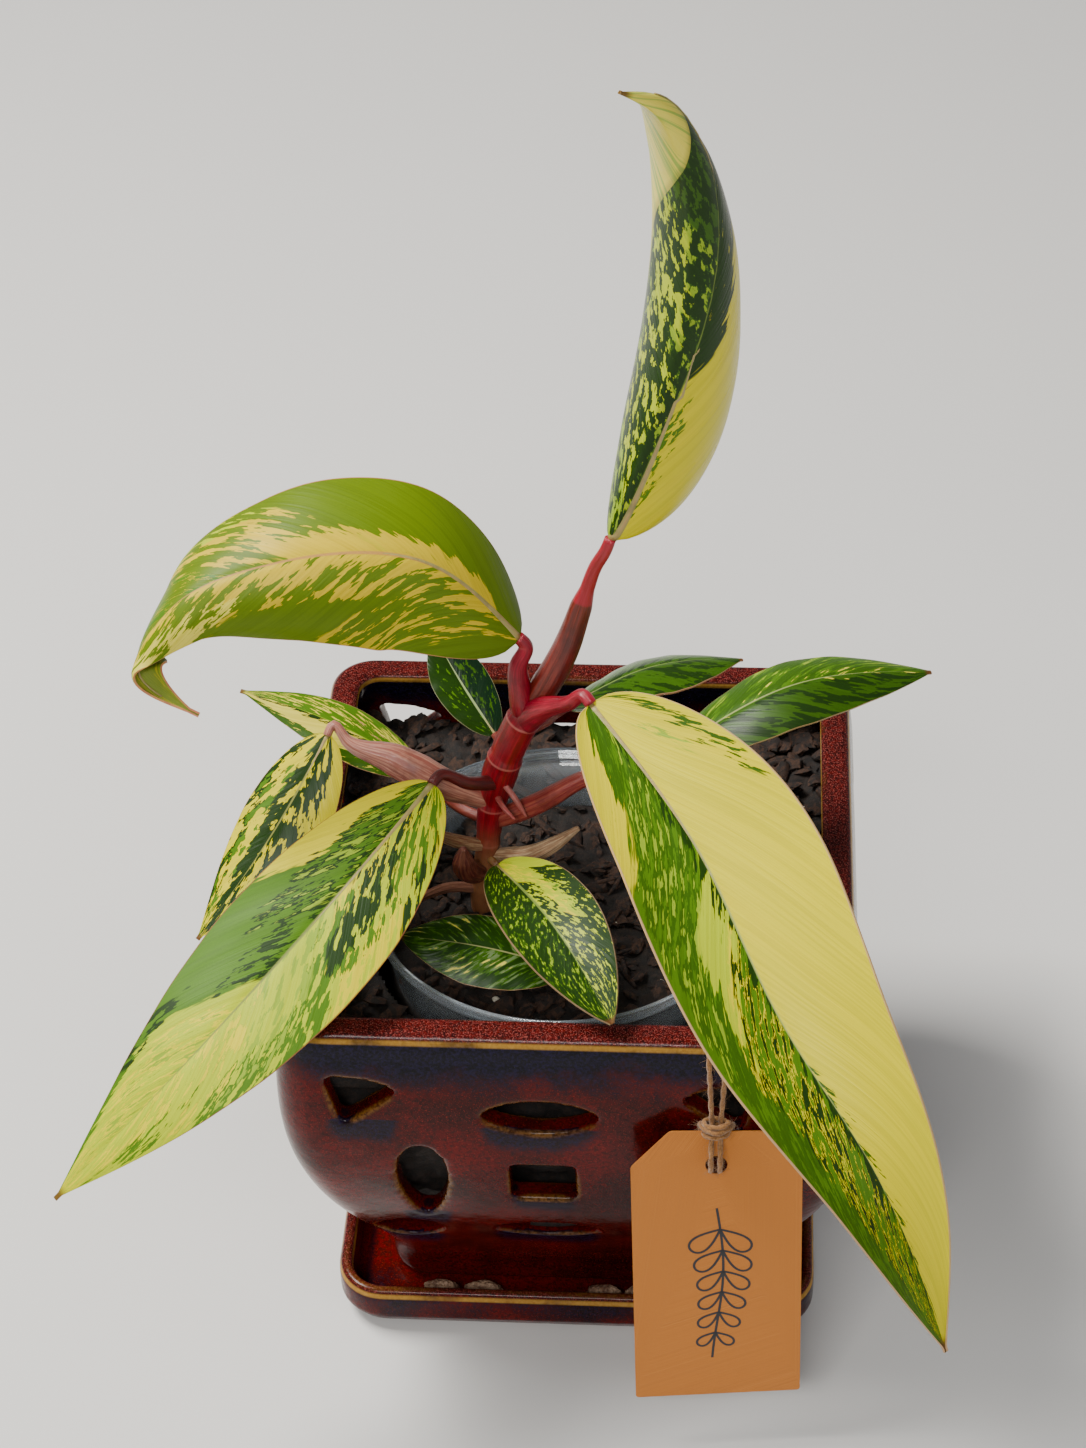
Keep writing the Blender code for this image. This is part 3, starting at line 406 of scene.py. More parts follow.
# A base is the left and the right half's colour. A patch is its colour, its half (-1 left, 1 right),
# how far it reaches from the rib to the margin, how far from foot to tip, and its density.
LOOKS = {
    "leaf_top": {
        "base": (DARK, YELLOW), "length": 0.168, "seed": 2.0, "slant": 0.28, "gloss": 0.27, "under": CREAM,
        "rib_color": srgb(110, 132, 52), "rib": 0.012, "rolled": CREAM, "grain": (64.0, 17.0),
        "patches": [
            (GREEN, -1, *ALL, 0.36), (PALE_GREEN, -1, 0.0, 0.7, -0.4, 0.6, 0.24),
            (LIME, -1, 0.2, 0.62, 0.34, 0.56, 0.44), (LIME, -1, 0.06, 0.5, 0.06, 0.34, 0.38),
            (PALE_GREEN, -1, 0.0, 0.5, -0.4, 0.06, 0.46), (DARK, 1, -0.2, 0.34, 0.34, 0.52, 1.0),
            (DARK, 1, -0.2, 0.66, 0.48, 1.3, 1.0), (MID_GREEN, 1, -0.2, 0.12, 0.0, 0.28, 0.5)]},
    "leaf_arching": {
        "base": (OLIVE, OLIVE), "length": 0.176, "seed": 5.0, "slant": 0.24, "gloss": 0.42,
        "grain": (60.0, 3.6), "rib_color": srgb(180, 130, 74), "rib": 0.03, "margin": srgb(190, 120, 88),
        "under": (0.24, 0.28, 0.04),
        "patches": [
            (ORANGE_CREAM, 1, -0.2, 0.24, 0.06, 0.5, 1.0), (LIME, 1, 0.0, 1.2, 0.32, 1.3, 0.36),
            (ORANGE_CREAM, 1, 0.0, 0.8, 0.32, 1.3, 0.42), (MID_GREEN, 1, -0.2, 0.7, 0.58, 1.3, 0.38),
            (LIME, -1, -0.2, 1.2, -0.05, 1.3, 0.34), (ORANGE_CREAM, -1, -0.2, 1.2, -0.05, 1.3, 0.38),
            (OLIVE, -1, 0.45, 1.2, 0.24, 0.48, 0.8), (ORANGE_CREAM, -1, -0.2, 0.16, 0.05, 0.8, 0.7),
            (CREAM, -1, 0.35, 1.2, 0.5, 1.3, 0.62)]},
    "leaf_front_right": {
        "base": (MID_GREEN, YELLOW), "length": 0.238, "seed": 9.0, "slant": 0.27, "gloss": 0.38,
        "rib_color": srgb(150, 160, 90), "rib": 0.02, "margin": (0.5, 0.3, 0.16),
        "patches": [
            (GREEN, 1, 0.74, 0.93, -0.22, -0.02, 0.55), (PALE_GREEN, 1, 0.4, 0.6, -0.06, 0.0, 0.45),
            (GREEN, -1, -0.2, 0.9, -0.4, 0.42, 0.72), (PALE_GREEN, -1, 0.1, 0.9, 0.02, 0.3, 0.26),
            (YELLOW, -1, 0.58, 1.3, -0.4, 0.02, 1.0), (LIME, -1, -0.2, 0.5, 0.24, 0.38, 1.0),
            (YELLOW, -1, -0.2, 0.95, 0.34, 1.3, 0.5), (DARK, -1, -0.2, 0.7, 0.36, 1.3, 0.36),
            (GREEN, -1, 0.6, 1.2, 0.3, 1.3, 0.6), (DARK, -1, -0.2, 0.07, 0.0, 0.9, 0.7),
            (GREEN, 1, -0.2, 0.05, 0.55, 0.95, 0.45)]},
    "leaf_front_left": {
        "base": (LIME, MID_GREEN), "length": 0.178, "seed": 13.0, "slant": 0.25, "gloss": 0.52,
        "grain": (70.0, 6.0), "rib_color": srgb(120, 128, 62), "rib": 0.035, "margin": srgb(130, 66, 44),
        "patches": [
            (YELLOW, 1, 0.55, 1.3, -0.45, 0.1, 1.0), (DARK, 1, -0.2, 0.58, -0.25, 0.3, 0.6),
            (PALE_GREEN, 1, 0.0, 0.55, -0.1, 0.3, 0.3), (DARK, 1, -0.2, 0.36, 0.28, 0.5, 0.4),
            (LIME, 1, -0.2, 0.86, 0.46, 1.3, 1.0), (DARK, 1, 0.8, 1.1, 0.4, 0.54, 0.6),
            (YELLOW, 1, 0.0, 0.75, 0.5, 1.3, 0.5), (PALE_GREEN, 1, 0.0, 0.6, 0.5, 1.2, 0.24),
            (YELLOW, -1, -0.2, 1.3, -0.4, 0.28, 0.64), (MID_GREEN, -1, 0.1, 0.8, -0.3, 0.34, 0.5),
            (DARK, -1, 0.25, 0.6, 0.06, 0.27, 0.72), (DARK, -1, -0.2, 0.25, -0.05, 0.22, 0.52),
            (DARK, -1, 0.78, 1.0, -0.14, 0.02, 0.6), (MID_GREEN, -1, 0.6, 1.1, 0.22, 0.5, 0.72),
            (PALE_GREEN, -1, -0.1, 0.9, 0.3, 1.1, 0.4), (YELLOW, -1, 0.0, 0.9, 0.45, 1.2, 0.34),
            (MID_GREEN, -1, 0.5, 0.9, 0.56, 0.72, 0.5)]},
    "leaf_far_left": {
        "base": (YELLOW, YELLOW), "length": 0.079, "seed": 17.0, "grain": (44.0, 5.0),
        "margin": srgb(170, 120, 80), "rib_color": srgb(140, 140, 70),
        "patches": [
            (DARK, 1, -0.2, 0.36, -0.2, 1.2, 0.8), (DARK, 1, 0.62, 1.2, -0.3, 1.2, 0.55),
            (DARK, -1, -0.2, 0.6, -0.2, 1.2, 0.62), (MID_GREEN, 1, 0.3, 0.9, 0.0, 0.9, 0.3)]},
    "leaf_back_left": {
        "base": (CREAM, MID_GREEN), "length": 0.066, "seed": 21.0, "slant": 0.5,
        "patches": [
            (CREAM, 1, 0.1, 0.9, -0.4, 1.0, 0.4), (PINK, 1, 0.0, 0.5, -0.5, 0.2, 0.35),
            (GREEN, -1, 0.62, 1.2, -0.5, 1.2, 0.9), (DARK, -1, -0.2, 0.2, -0.5, 0.9, 0.6)]},
    "leaf_back_middle": {
        "base": (DARK, DEEP), "length": 0.043, "seed": 25.0, "gloss": 0.26, "rib": 0.08,
        "margin": srgb(150, 150, 110), "rib_color": srgb(150, 168, 110),
        "patches": [
            (MID_GREEN, -1, 0.1, 0.7, -0.2, 1.0, 0.14), (GREEN, 1, 0.1, 0.9, 0.0, 1.0, 0.26)]},
    "leaf_back_right": {
        "base": (GREEN, GREEN), "length": 0.064, "seed": 29.0, "gloss": 0.28, "grain": (60.0, 3.0),
        "rib_color": srgb(120, 140, 70),
        "patches": [
            (MID_GREEN, -1, 0.3, 1.1, -0.2, 1.0, 0.34), (PALE_GREEN, 1, 0.1, 0.9, 0.1, 1.0, 0.08),
            (DARK, 1, *ALL, 0.5), (DARK, -1, -0.2, 0.5, -0.4, 1.2, 0.3)]},
    "leaf_far_right": {
        "base": (GREEN, GREEN), "length": 0.094, "seed": 33.0, "gloss": 0.36, "grain": (70.0, 2.4),
        "rib_color": srgb(150, 160, 96), "margin": srgb(150, 120, 80),
        "patches": [
            (MID_GREEN, -1, *ALL, 0.42), (CREAM, -1, -0.1, 0.3, -0.1, 0.8, 0.12),
            (CREAM, 1, -0.1, 0.25, 0.0, 0.9, 0.1), (DARK, 1, 0.1, 1.2, -0.4, 1.2, 0.52),
            (PALE_GREEN, -1, 0.5, 1.1, 0.0, 1.0, 0.14)]},
    "leaf_low_right": {
        "base": (DARK, LIME), "length": 0.079, "seed": 37.0, "gloss": 0.42, "grain": (120.0, 11.0),
        "rib_color": srgb(120, 140, 60), "rib": 0.05, "margin": srgb(150, 120, 90),
        "patches": [
            (GREEN, -1, *ALL, 0.36), (PALE_GREEN, -1, 0.0, 0.9, -0.2, 1.1, 0.15),
            (DARK, 1, 0.62, 1.2, 0.0, 1.1, 0.8), (MID_GREEN, 1, 0.0, 0.6, -0.2, 0.9, 0.22),
            (YELLOW, 1, 0.0, 0.5, -0.3, 0.5, 0.4), (DARK, 1, -0.2, 1.2, 0.4, 1.2, 0.7),
            (DARK, 1, -0.2, 0.3, 0.16, 1.2, 0.6)]},
    "leaf_low_left": {
        "base": (DARK, DARK), "length": 0.054, "seed": 41.0, "gloss": 0.27, "grain": (110.0, 2.0),
        "rib_color": srgb(140, 140, 90), "margin": srgb(170, 130, 90),
        "patches": [
            (GREEN, -1, *ALL, 0.46), (GREEN, 1, *ALL, 0.36),
            (srgb(96, 116, 74), -1, 0.0, 1.0, -0.4, 1.2, 0.2),
            (srgb(96, 116, 74), 1, 0.0, 1.0, -0.4, 1.2, 0.16), (CREAM, -1, 0.3, 1.0, 0.2, 1.0, 0.05),
            (CREAM, 1, 0.0, 0.8, 0.3, 1.0, 0.05)]},
}


# ------------------------------------------------------------------ leaf shape
BLADE = {"peak": 0.38, "base": 0.5, "tip": 1.05, "fold": -5.0, "curl_right": -20.0, "curl_left": -20.0,
         "twist": 0.0, "lopsided": 0.0, "rib_shift": 0.0, "face": 1}
BLADE_THICK = 0.0007
THINNEST = 0.0007       # half width of a blade's ends
GROOVE_WIDTH = 0.0011   # of the furrow over the midrib

LEAVES = {
    "leaf_top": {
        "spine": [(0.044, 0.006, 0.15), (0.0545, 0.008, 0.182), (0.0635, 0.01, 0.214),
                  (0.0675, 0.011, 0.245), (0.0655, 0.01, 0.274), (0.0585, 0.005, 0.296),
                  (0.0485, -0.002, 0.307)],
        "side": (1.0, -0.35, 0.0), "width": 0.078, "peak": 0.34, "base": 0.45, "tip": 1.0,
        "fold": (-28.0, -24.0, -20.0), "curl_right": (-55.0, -105.0, -190.0),
        "curl_left": (-80.0, -85.0, -20.0), "twist": (6.0, -10.0, -10.0), "rib_shift": (0.08, 0.2, 0.75)},
    "leaf_arching": {
        "spine": [(0.015, 0.011, 0.106), (-0.0145, 0.009, 0.1385), (-0.056, 0.0, 0.144),
                  (-0.0895, -0.008, 0.1315), (-0.101, -0.0155, 0.1135), (-0.082, -0.022, 0.1005)],
        "side": (0.15, 0.8, 0.58), "width": 0.061, "peak": 0.35, "base": 0.45, "tip": 1.25,
        "curl_right": (-30.0, -30.0, -60.0), "curl_left": (-20.0, -75.0, -90.0),
        "twist": (0.0, -6.0, -12.0), "lopsided": (0.0, -0.02, 0.5)},
    "leaf_front_right": {
        "spine": [(0.038, -0.01, 0.098), (0.0705, -0.052, 0.081), (0.098, -0.1, 0.054),
                  (0.127, -0.132, 0.023), (0.15, -0.15, -0.036)],
        "side": (0.8, 0.5, 0.3), "width": 0.065, "peak": 0.35, "tip": 1.0, "fold": -10.0,
        "curl_right": (-20.0, -30.0, -70.0), "curl_left": -30.0, "lopsided": (0.08, 0.08, -0.1),
        "face": -1},
    "leaf_front_left": {
        "spine": [(-0.013, -0.007, 0.06), (-0.0515, -0.062, 0.043), (-0.082, -0.096, 0.0255),
                  (-0.124, -0.121, -0.0125)],
        "side": (-0.7, 0.6, 0.2), "width": 0.052, "fold": 5.0},
    "leaf_far_left": {
        "spine": [(-0.0485, 0.012, 0.063), (-0.065, -0.012, 0.042), (-0.0885, -0.038, 0.018)],
        "side": (-0.7, 0.6, 0.3), "width": 0.03},
    "leaf_back_left": {
        "spine": [(-0.021, 0.022, 0.038), (-0.048, 0.03, 0.051), (-0.081, 0.038, 0.058)],
        "side": (0.0, 0.9, 0.3), "width": 0.021},
    "leaf_back_middle": {
        "spine": [(0.005, 0.02, 0.057), (-0.006, 0.035, 0.064), (-0.018, 0.053, 0.073)],
        "side": (1.0, 0.3, 0.0), "width": 0.019, "peak": 0.5, "tip": 0.9, "fold": 10.0},
    "leaf_back_right": {
        "spine": [(0.028, 0.026, 0.064), (0.054, 0.041, 0.069), (0.085, 0.053, 0.063)],
        "side": (0.2, -0.9, 0.3), "width": 0.031, "peak": 0.5, "tip": 1.0},
    "leaf_far_right": {
        "spine": [(0.062, 0.008, 0.061), (0.1, 0.023, 0.078), (0.146, 0.038, 0.072)],
        "side": (0.2, -0.9, 0.0), "width": 0.032, "peak": 0.45, "tip": 0.9},
    "leaf_low_right": {
        "spine": [(0.007, -0.014, 0.031), (0.029, -0.05, 0.038), (0.047, -0.08, 0.029)],
        "side": (0.8, 0.4, 0.2), "width": 0.031, "peak": 0.5, "tip": 0.75, "face": -1},
    "leaf_low_left": {
        "spine": [(0.031, -0.048, 0.019), (0.005, -0.045, 0.025), (-0.022, -0.042, 0.026)],
        "side": (0.0, 0.9, 0.3), "width": 0.026, "peak": 0.5, "tip": 0.8},
}


def bend(value, t):
    """One number, or three for the foot, middle and tip of a blade."""
    if not isinstance(value, tuple):
        return np.full_like(t, float(value))
    foot, middle, tip = value
    return foot * (1 - t) * (1 - 2 * t) + middle * 4 * t * (1 - t) + tip * t * (2 * t - 1)


def outline_share(t, peak, base, tip):
    rising = np.sin(np.clip(t / peak, 0, 1) * math.pi / 2) ** base
    falling = np.sin(np.clip((1 - t) / (1 - peak), 0, 1) * math.pi / 2) ** tip
    return np.where(t < peak, rising, falling)


def blade_grid(shape, rows, columns):
    """Points of the blade's middle surface, rows from foot to tip and columns left to right."""
    spine = smooth_path([CROWN + Vector(p) for p in shape["spine"]], rows)
    t = np.linspace(0, 1, rows)
    ahead = unit(np.gradient(spine, axis=0))
    side = np.array(shape["side"], float)
    side = unit(side - (ahead @ side)[:, None] * ahead)
    turn = np.radians(bend(shape["twist"], t))[:, None]
    side = side * np.cos(turn) + np.cross(side, ahead) * np.sin(turn)
    face = np.cross(side, ahead)
    width = shape["width"] / 2 * outline_share(t, shape["peak"], shape["base"], shape["tip"])
    width = np.maximum(width, THINNEST)
    fold = np.radians(bend(shape["fold"], t))
    lop, shift = bend(shape["lopsided"], t), bend(shape["rib_shift"], t)
    grid = np.zeros((rows, columns, 3))
    steps = (np.arange(24) + 0.5) / 24
    for j, share in enumerate(np.linspace(-1, 1, columns)):
        reach, sign = abs(share), (1 if share > 0 else -1)
        curl = np.radians(bend(shape["curl_right" if share > 0 else "curl_left"], t))
        angle = fold[:, None] + curl[:, None] * steps[None, :] * reach
        half = width * (1 + sign * lop) * reach
        ripple = 0.016 * width * reach ** 3 * np.sin(9.0 * t + 4 * sign) * np.sin(31.0 * t + sign)
        groove = np.exp(-(np.abs(share - shift) * width / GROOVE_WIDTH) ** 2)
        groove *= -shape["face"] * 0.022 * np.minimum(width, 0.02)
        lift = np.sin(angle).mean(1) * half + ripple + groove
        grid[:, j] = spine + side * (sign * np.cos(angle).mean(1) * half)[:, None] + face * lift[:, None]
    return grid, face, t


def make_blade(name):
    shape, look = {**BLADE, **LEAVES[name]}, {**LOOK, **LOOKS[name]}
    rows, columns = (150, 49) if look["length"] > 0.12 else (80, 33)
    grid, face, t = blade_grid(shape, rows, columns)
    share, v = np.meshgrid(np.linspace(-1, 1, columns), t)
    shift = bend(shape["rib_shift"], t)[:, None]
    u = 0.5 + 0.5 * (share - shift) / np.where(share > shift, 1 - shift, 1 + shift)
    faces = [quad[::shape["face"]] for quad in grid_faces(rows, columns)]
    mats = [leaf_material(name, look, under) for under in (False, True)]
    uvs = np.stack([u.ravel(), v.ravel()], 1)
    blade = mesh_object(name + "_blade", grid.reshape(-1, 3), faces, mats, uvs)
    modify(blade, "SOLIDIFY", thickness=BLADE_THICK, offset=0.0, material_offset=1, material_offset_rim=0)
    applied(blade)
    blade.data.shade_smooth()
    blade.data.set_sharp_from_angle(angle=math.radians(70))
    finish_piece(blade, name, name)
    make_rib(name, shape, grid, face, shift.ravel())


def make_rib(name, shape, grid, face, shift):
    """The rounded midrib under a blade, which goes on from its stalk."""
    column = np.round((shift + 1) / 2 * (grid.shape[1] - 1)).astype(int)
    middle = grid[np.arange(len(grid)), column]
    stop = int(len(middle) * 0.93)
    thick = 0.0016 if shape["width"] > 0.045 else 0.0010
    path = middle[:stop] - face[:stop] * shape["face"] * thick * 0.45
    skin = stalk_material(name + "_rib_skin", (0.30, 0.28, 0.08), (0.42, 0.25, 0.10))
    finish_piece(sweep(name + "_rib", path[::2], lambda t, a: thick * (1 - 0.85 * t), skin, 10), name)


# ------------------------------------------------------------------ stalks and stem
def stalk_material(name, tint, other, rings=(), dry=False, over=None):
    """Satin stalk skin streaked lengthwise; rings are pale scars at places along it."""
    n = Nodes(name)
    split = n.split(n.uv())
    turn, up = n.mul(split["X"], 2 * math.pi), split["Y"]
    around = n.joined(n.mul(n.math("COSINE", turn), 2.2), n.mul(n.math("SINE", turn), 2.2), n.mul(up, 1.6))
    streak = n.noise(around, 3.0, 4.0, 0.65)
    blotch = n.noise(n.spot(), 160.0)
    color = n.paint(tint, streak, 0.38, 0.66, other)
    color = n.paint(color, blotch, 0.45, 0.75, tuple(0.45 * c for c in tint), 0.6)
    for where in rings:
        color = n.paint(color, n.gap(up, where), 0.007, 0.002, srgb(196, 110, 100), 0.6)
    if over:
        color = over(n, color, up)
    height = n.mul_add(streak, 1.0, n.mul(blotch, 0.3))
    return n.finish(color, 0.75 if dry else 0.32, (height, 0.7 if dry else 0.35, 0.0008),
                    Subsurface_Weight=0.0 if dry else 0.10, Subsurface_Scale=0.001)


def bare_top(n, color, up):
    """The stalk's bare, brighter part beyond the sheath that wraps its lower half."""
    return n.paint(color, up, 0.625, 0.64, srgb(150, 12, 34))


def brown_foot(n, color, up):
    brown = n.mix(n.noise(n.spot(), 400.0), srgb(110, 66, 40), srgb(150, 100, 66))
    return n.paint(brown, up, 0.22, 0.42, color)


def stalk(name, points, radii, wave, mat, count, sides):
    """A tube through points given from the crown, its radii at even stations shaped by wave(t, a)."""
    stations = np.linspace(0, 1, len(radii))
    path = smooth_path([CROWN + Vector(p) for p in points], count)
    return sweep(name, path, lambda t, a: float(np.interp(t, stations, radii)) * wave(t, a), mat, sides)


STEM = [(0.0, 0.0, -0.003), (0.0, 0.0, 0.006), (0.002, 0.004, 0.02), (0.004, 0.008, 0.036),
        (0.01, 0.008, 0.061), (0.019, 0.008, 0.083)]
STEM_RADII = [0.0036, 0.0036, 0.0038, 0.0044, 0.005, 0.0058, 0.0054, 0.0056, 0.005]
STEM_NODES = (0.17, 0.30, 0.46, 0.70, 0.90)

# Points from the crown, radii at even stations, and the leaf whose foot the stalk runs on to.
STALKS = {
    "petiole_top": (
        [(0.0185, 0.008, 0.08), (0.0285, 0.008, 0.102), (0.036, 0.008, 0.127), (0.0395, 0.007, 0.139)],
        [0.0046, 0.0047, 0.0047, 0.0045, 0.0042, 0.0038, 0.0035, 0.0023, 0.0021, 0.002, 0.0018],
        "leaf_top"),
    "petiole_arching": (
        [(0.0165, 0.008, 0.076), (0.015, 0.0075, 0.086), (0.0145, 0.009, 0.097)],
        [0.0046, 0.0042, 0.0034, 0.0026, 0.002], "leaf_arching"),
    "petiole_front_right": (
        [(0.017, 0.007, 0.0765), (0.0235, 0.001, 0.0862), (0.0312, -0.005, 0.0938)],
        [0.005, 0.0044, 0.0034, 0.0026, 0.0022, 0.002], "leaf_front_right"),
    "petiole_front_left": (
        [(0.007, 0.008, 0.048), (-0.002, -0.001, 0.055)],
        [0.003, 0.0024, 0.002, 0.0018], "leaf_front_left"),
    "sheath_far_left": (
        [(0.005, 0.008, 0.038), (-0.012, 0.006, 0.048), (-0.028, 0.009, 0.056), (-0.042, 0.011, 0.061)],
        [0.003, 0.0038, 0.0052, 0.006, 0.0054, 0.0034, 0.0017, 0.0014], "leaf_far_left"),
    "petiole_back_left": (
        [(0.003, 0.008, 0.03), (-0.01, 0.015, 0.031)],
        [0.0022, 0.0016, 0.0014], "leaf_back_left"),
    "petiole_back_middle": (
        [(0.01, 0.008, 0.056), (0.008, 0.014, 0.056)],
        [0.002, 0.0016, 0.0014], "leaf_back_middle"),
    "petiole_back_right": (
        [(0.015, 0.008, 0.07), (0.022, 0.016, 0.067)],
        [0.0024, 0.0018, 0.0014], "leaf_back_right"),
    "sheath_far_right": (
        [(0.004, 0.008, 0.03), (0.02, 0.003, 0.043), (0.036, 0.004, 0.054)],
        [0.003, 0.0036, 0.0034, 0.0026, 0.0015, 0.0013], "leaf_far_right"),
    "petiole_low_right": (
        [(0.0004, 0.001, 0.01), (0.008, -0.0055, 0.019)],
        [0.002, 0.0016, 0.0013], "leaf_low_right"),
    "petiole_low_left": (
        [(0.0, 0.0, 0.0055), (0.018, -0.016, 0.011), (0.036, -0.036, 0.016)],
        [0.0018, 0.0016, 0.0015, 0.0012], "leaf_low_left"),
}

STALK_TINTS = {
    "petiole_top": (srgb(84, 20, 12), srgb(120, 34, 20)),
    "petiole_arching": (srgb(118, 2, 26), srgb(152, 14, 38)),
    "petiole_front_right": (srgb(124, 2, 28), srgb(160, 22, 46)),
    "petiole_front_left": (srgb(72, 12, 14), srgb(104, 26, 22)),
    "sheath_far_left": (srgb(150, 84, 72), srgb(196, 140, 118)),
    "sheath_far_right": (srgb(136, 44, 44), srgb(170, 84, 66)),
    "petiole_low_right": (srgb(110, 60, 32), srgb(104, 90, 40)),
    "petiole_low_left": (srgb(110, 60, 32), srgb(104, 90, 40)),
}
PLAIN_STALK = (srgb(122, 40, 36), srgb(150, 76, 54))

DRIED = {
    "bud": (
        [(0.0008, 0.001, 0.013), (-0.0042, -0.0055, 0.021), (-0.0045, -0.0065, 0.031)],
        [0.0026, 0.0038, 0.004, 0.0034, 0.001], srgb(96, 40, 34), srgb(140, 84, 60)),
    "dried_sheath_right": (
        [(0.004, 0.004, 0.018), (0.018, -0.003, 0.026), (0.033, -0.002, 0.037)],
        [0.0022, 0.0031, 0.003, 0.0022, 0.0008], srgb(150, 108, 74), srgb(206, 176, 138)),
    "dried_sheath_left": (
        [(0.003, 0.004, 0.022), (-0.008, -0.001, 0.029), (-0.017, -0.004, 0.037)],
        [0.0016, 0.0022, 0.0022, 0.0018, 0.0008], srgb(140, 92, 60), srgb(196, 160, 120)),
    "old_petiole": (
        [(0.0, 0.0, 0.006), (-0.011, -0.003, 0.009), (-0.02, -0.006, 0.007)],
        [0.0018, 0.0017, 0.0016, 0.0012], srgb(120, 72, 52), srgb(150, 100, 74)),
}

STUBS = {
    "stalk_stub": (
        [(0.0205, 0.009, 0.086), (0.0245, 0.0085, 0.094), (0.029, 0.0075, 0.095)],
        [0.003, 0.0033, 0.0032, 0.0028, 0.001], srgb(140, 12, 26), srgb(176, 44, 50)),
    "root_tip_high": (
        [(0.0075, 0.006, 0.05), (0.0125, 0.0005, 0.047), (0.016, -0.002, 0.0415)],
        [0.0012, 0.001, 0.0009, 0.0004], srgb(190, 110, 100), srgb(150, 60, 56)),
    "root_tip_low": (
        [(0.006, 0.006, 0.044), (0.009, -0.001, 0.044), (0.0125, -0.004, 0.042)],
        [0.0012, 0.001, 0.0008, 0.0004], srgb(170, 84, 78), srgb(140, 50, 46)),
}


def make_stalks():
    for name, (points, radii, blade) in STALKS.items():
        spine = LEAVES[blade]["spine"]
        foot, ahead = smooth_path(spine, 40)[:2]
        way = Vector(ahead - foot).normalized()
        points = points + [Vector(spine[0]) - way * back for back in (0.0035, -0.0005)]
        wrapped = "sheath" in name or name == "petiole_top"
        flat = 0.16 if wrapped else 0.05

        def wave(t, a):
            return 1 + 0.04 * math.cos(3 * a + 5 * t) - flat * math.exp(-((a - math.pi / 2) / 0.35) ** 2)

        mat = stalk_material(name + "_skin", *STALK_TINTS.get(name, PLAIN_STALK),
                             over=bare_top if name == "petiole_top" else None)
        finish_piece(stalk(name + "_skin", points, radii, wave, mat, 60, 28), "petiole", name)


def make_stem():
    """The ringed stem, browner near the mix, its foot just under the mix's top."""
    def wave(t, a):
        ring = sum(0.05 * math.exp(-((t - n) / 0.016) ** 2) for n in STEM_NODES)
        waist = sum(0.04 * math.exp(-((t - n - 0.03) / 0.02) ** 2) for n in STEM_NODES)
        return 1 + ring - waist + 0.02 * math.cos(2 * a + 9 * t)

    mat = stalk_material("stem_skin", srgb(118, 2, 18), srgb(166, 14, 36), STEM_NODES, over=brown_foot)
    finish_piece(stalk("stem_skin", STEM, STEM_RADII, wave, mat, 200, 40), "stem", "stem")


def make_dried():
    """Bud, stub and the two papery sheaths at the stem's foot."""
    def wave(t, a):
        ribs = 0.10 * math.cos(7 * a + 3 * t) + 0.06 * math.cos(13 * a)
        return 1 + ribs * (0.4 + 0.6 * t)

    for name, (points, radii, tint, other) in DRIED.items():
        mat = stalk_material(name + "_skin", tint, other, dry=name != "bud")
        finish_piece(stalk(name + "_skin", points, radii, wave, mat, 50, 36), "dried_stalk", name)


def make_stubs():
    """A short red stalk stub by the stem's top and two aerial root tips on its side."""
    def wave(t, a):
        return 1 + 0.05 * math.cos(4 * a + 6 * t)

    for name, (points, radii, tint, other) in STUBS.items():
        mat = stalk_material(name, tint, other)
        finish_piece(stalk(name, points, radii, wave, mat, 30, 20), "petiole")


# ------------------------------------------------------------------ glazed ware
SPREAD = [0.717, 0.728, 0.790, 0.868, 0.935, 0.985, 1.018, 1.033, 1.033, 1.022, 1.0]
PIERCED_X = -0.008      # the openings sit this far off the wall's middle
BULGE = 0.0002          # a bulge of twice this paints an edge fully
RUN_LENGTH = 0.016      # how far the blue glaze runs down from an opening
RUN_SKIN = 0.0016       # only the wall's outer surface to this depth has runs


def pot_half(z):
    """Half the pot's outer width at a height above its base, smooth between stations."""
    station = min(max(z / POT_TALL, 0.0), 1.0) * (len(SPREAD) - 1)
    i = min(int(station), len(SPREAD) - 2)
    before, a, b, after = (SPREAD[min(max(k, 0), len(SPREAD) - 1)] for k in range(i - 1, i + 3))
    return POT_HALF * ease(a, b, (b - before) / 2, (after - a) / 2, station - i)


def pot_inner_half(z):
    inside = pot_half(z) - POT_WALL
    lip = min(max(z / (0.1 * POT_TALL) - 9.0, 0.0), 1.0)
    return inside + (POT_HALF - POT_LIP - inside) * lip


def square_ring(half, corner, z, arc=8):
    out = []
    for quarter in range(4):
        middle = math.radians(45 + 90 * quarter)
        cx = math.copysign(half - corner, math.cos(middle))
        cy = math.copysign(half - corner, math.sin(middle))
        for k in range(arc + 1):
            a = math.radians(90 * quarter + 90 * k / arc)
            out.append((cx + corner * math.cos(a), cy + corner * math.sin(a), z))
    return out


def cutter_prism(outline, turn):
    """A prism right through two facing walls from an outline in x and z."""
    spin = Matrix.Rotation(math.radians(turn), 4, "Z")
    points = [spin @ Vector((x, y, z)) for y in (-POT_HALF * 1.4, POT_HALF * 1.4) for x, z in outline]
    obj = mesh_object("cutter", points, tube_faces(2, len(outline)), [], smooth=False)
    with editing(obj.data) as bm:
        bmesh.ops.recalc_face_normals(bm, faces=bm.faces)
    return obj


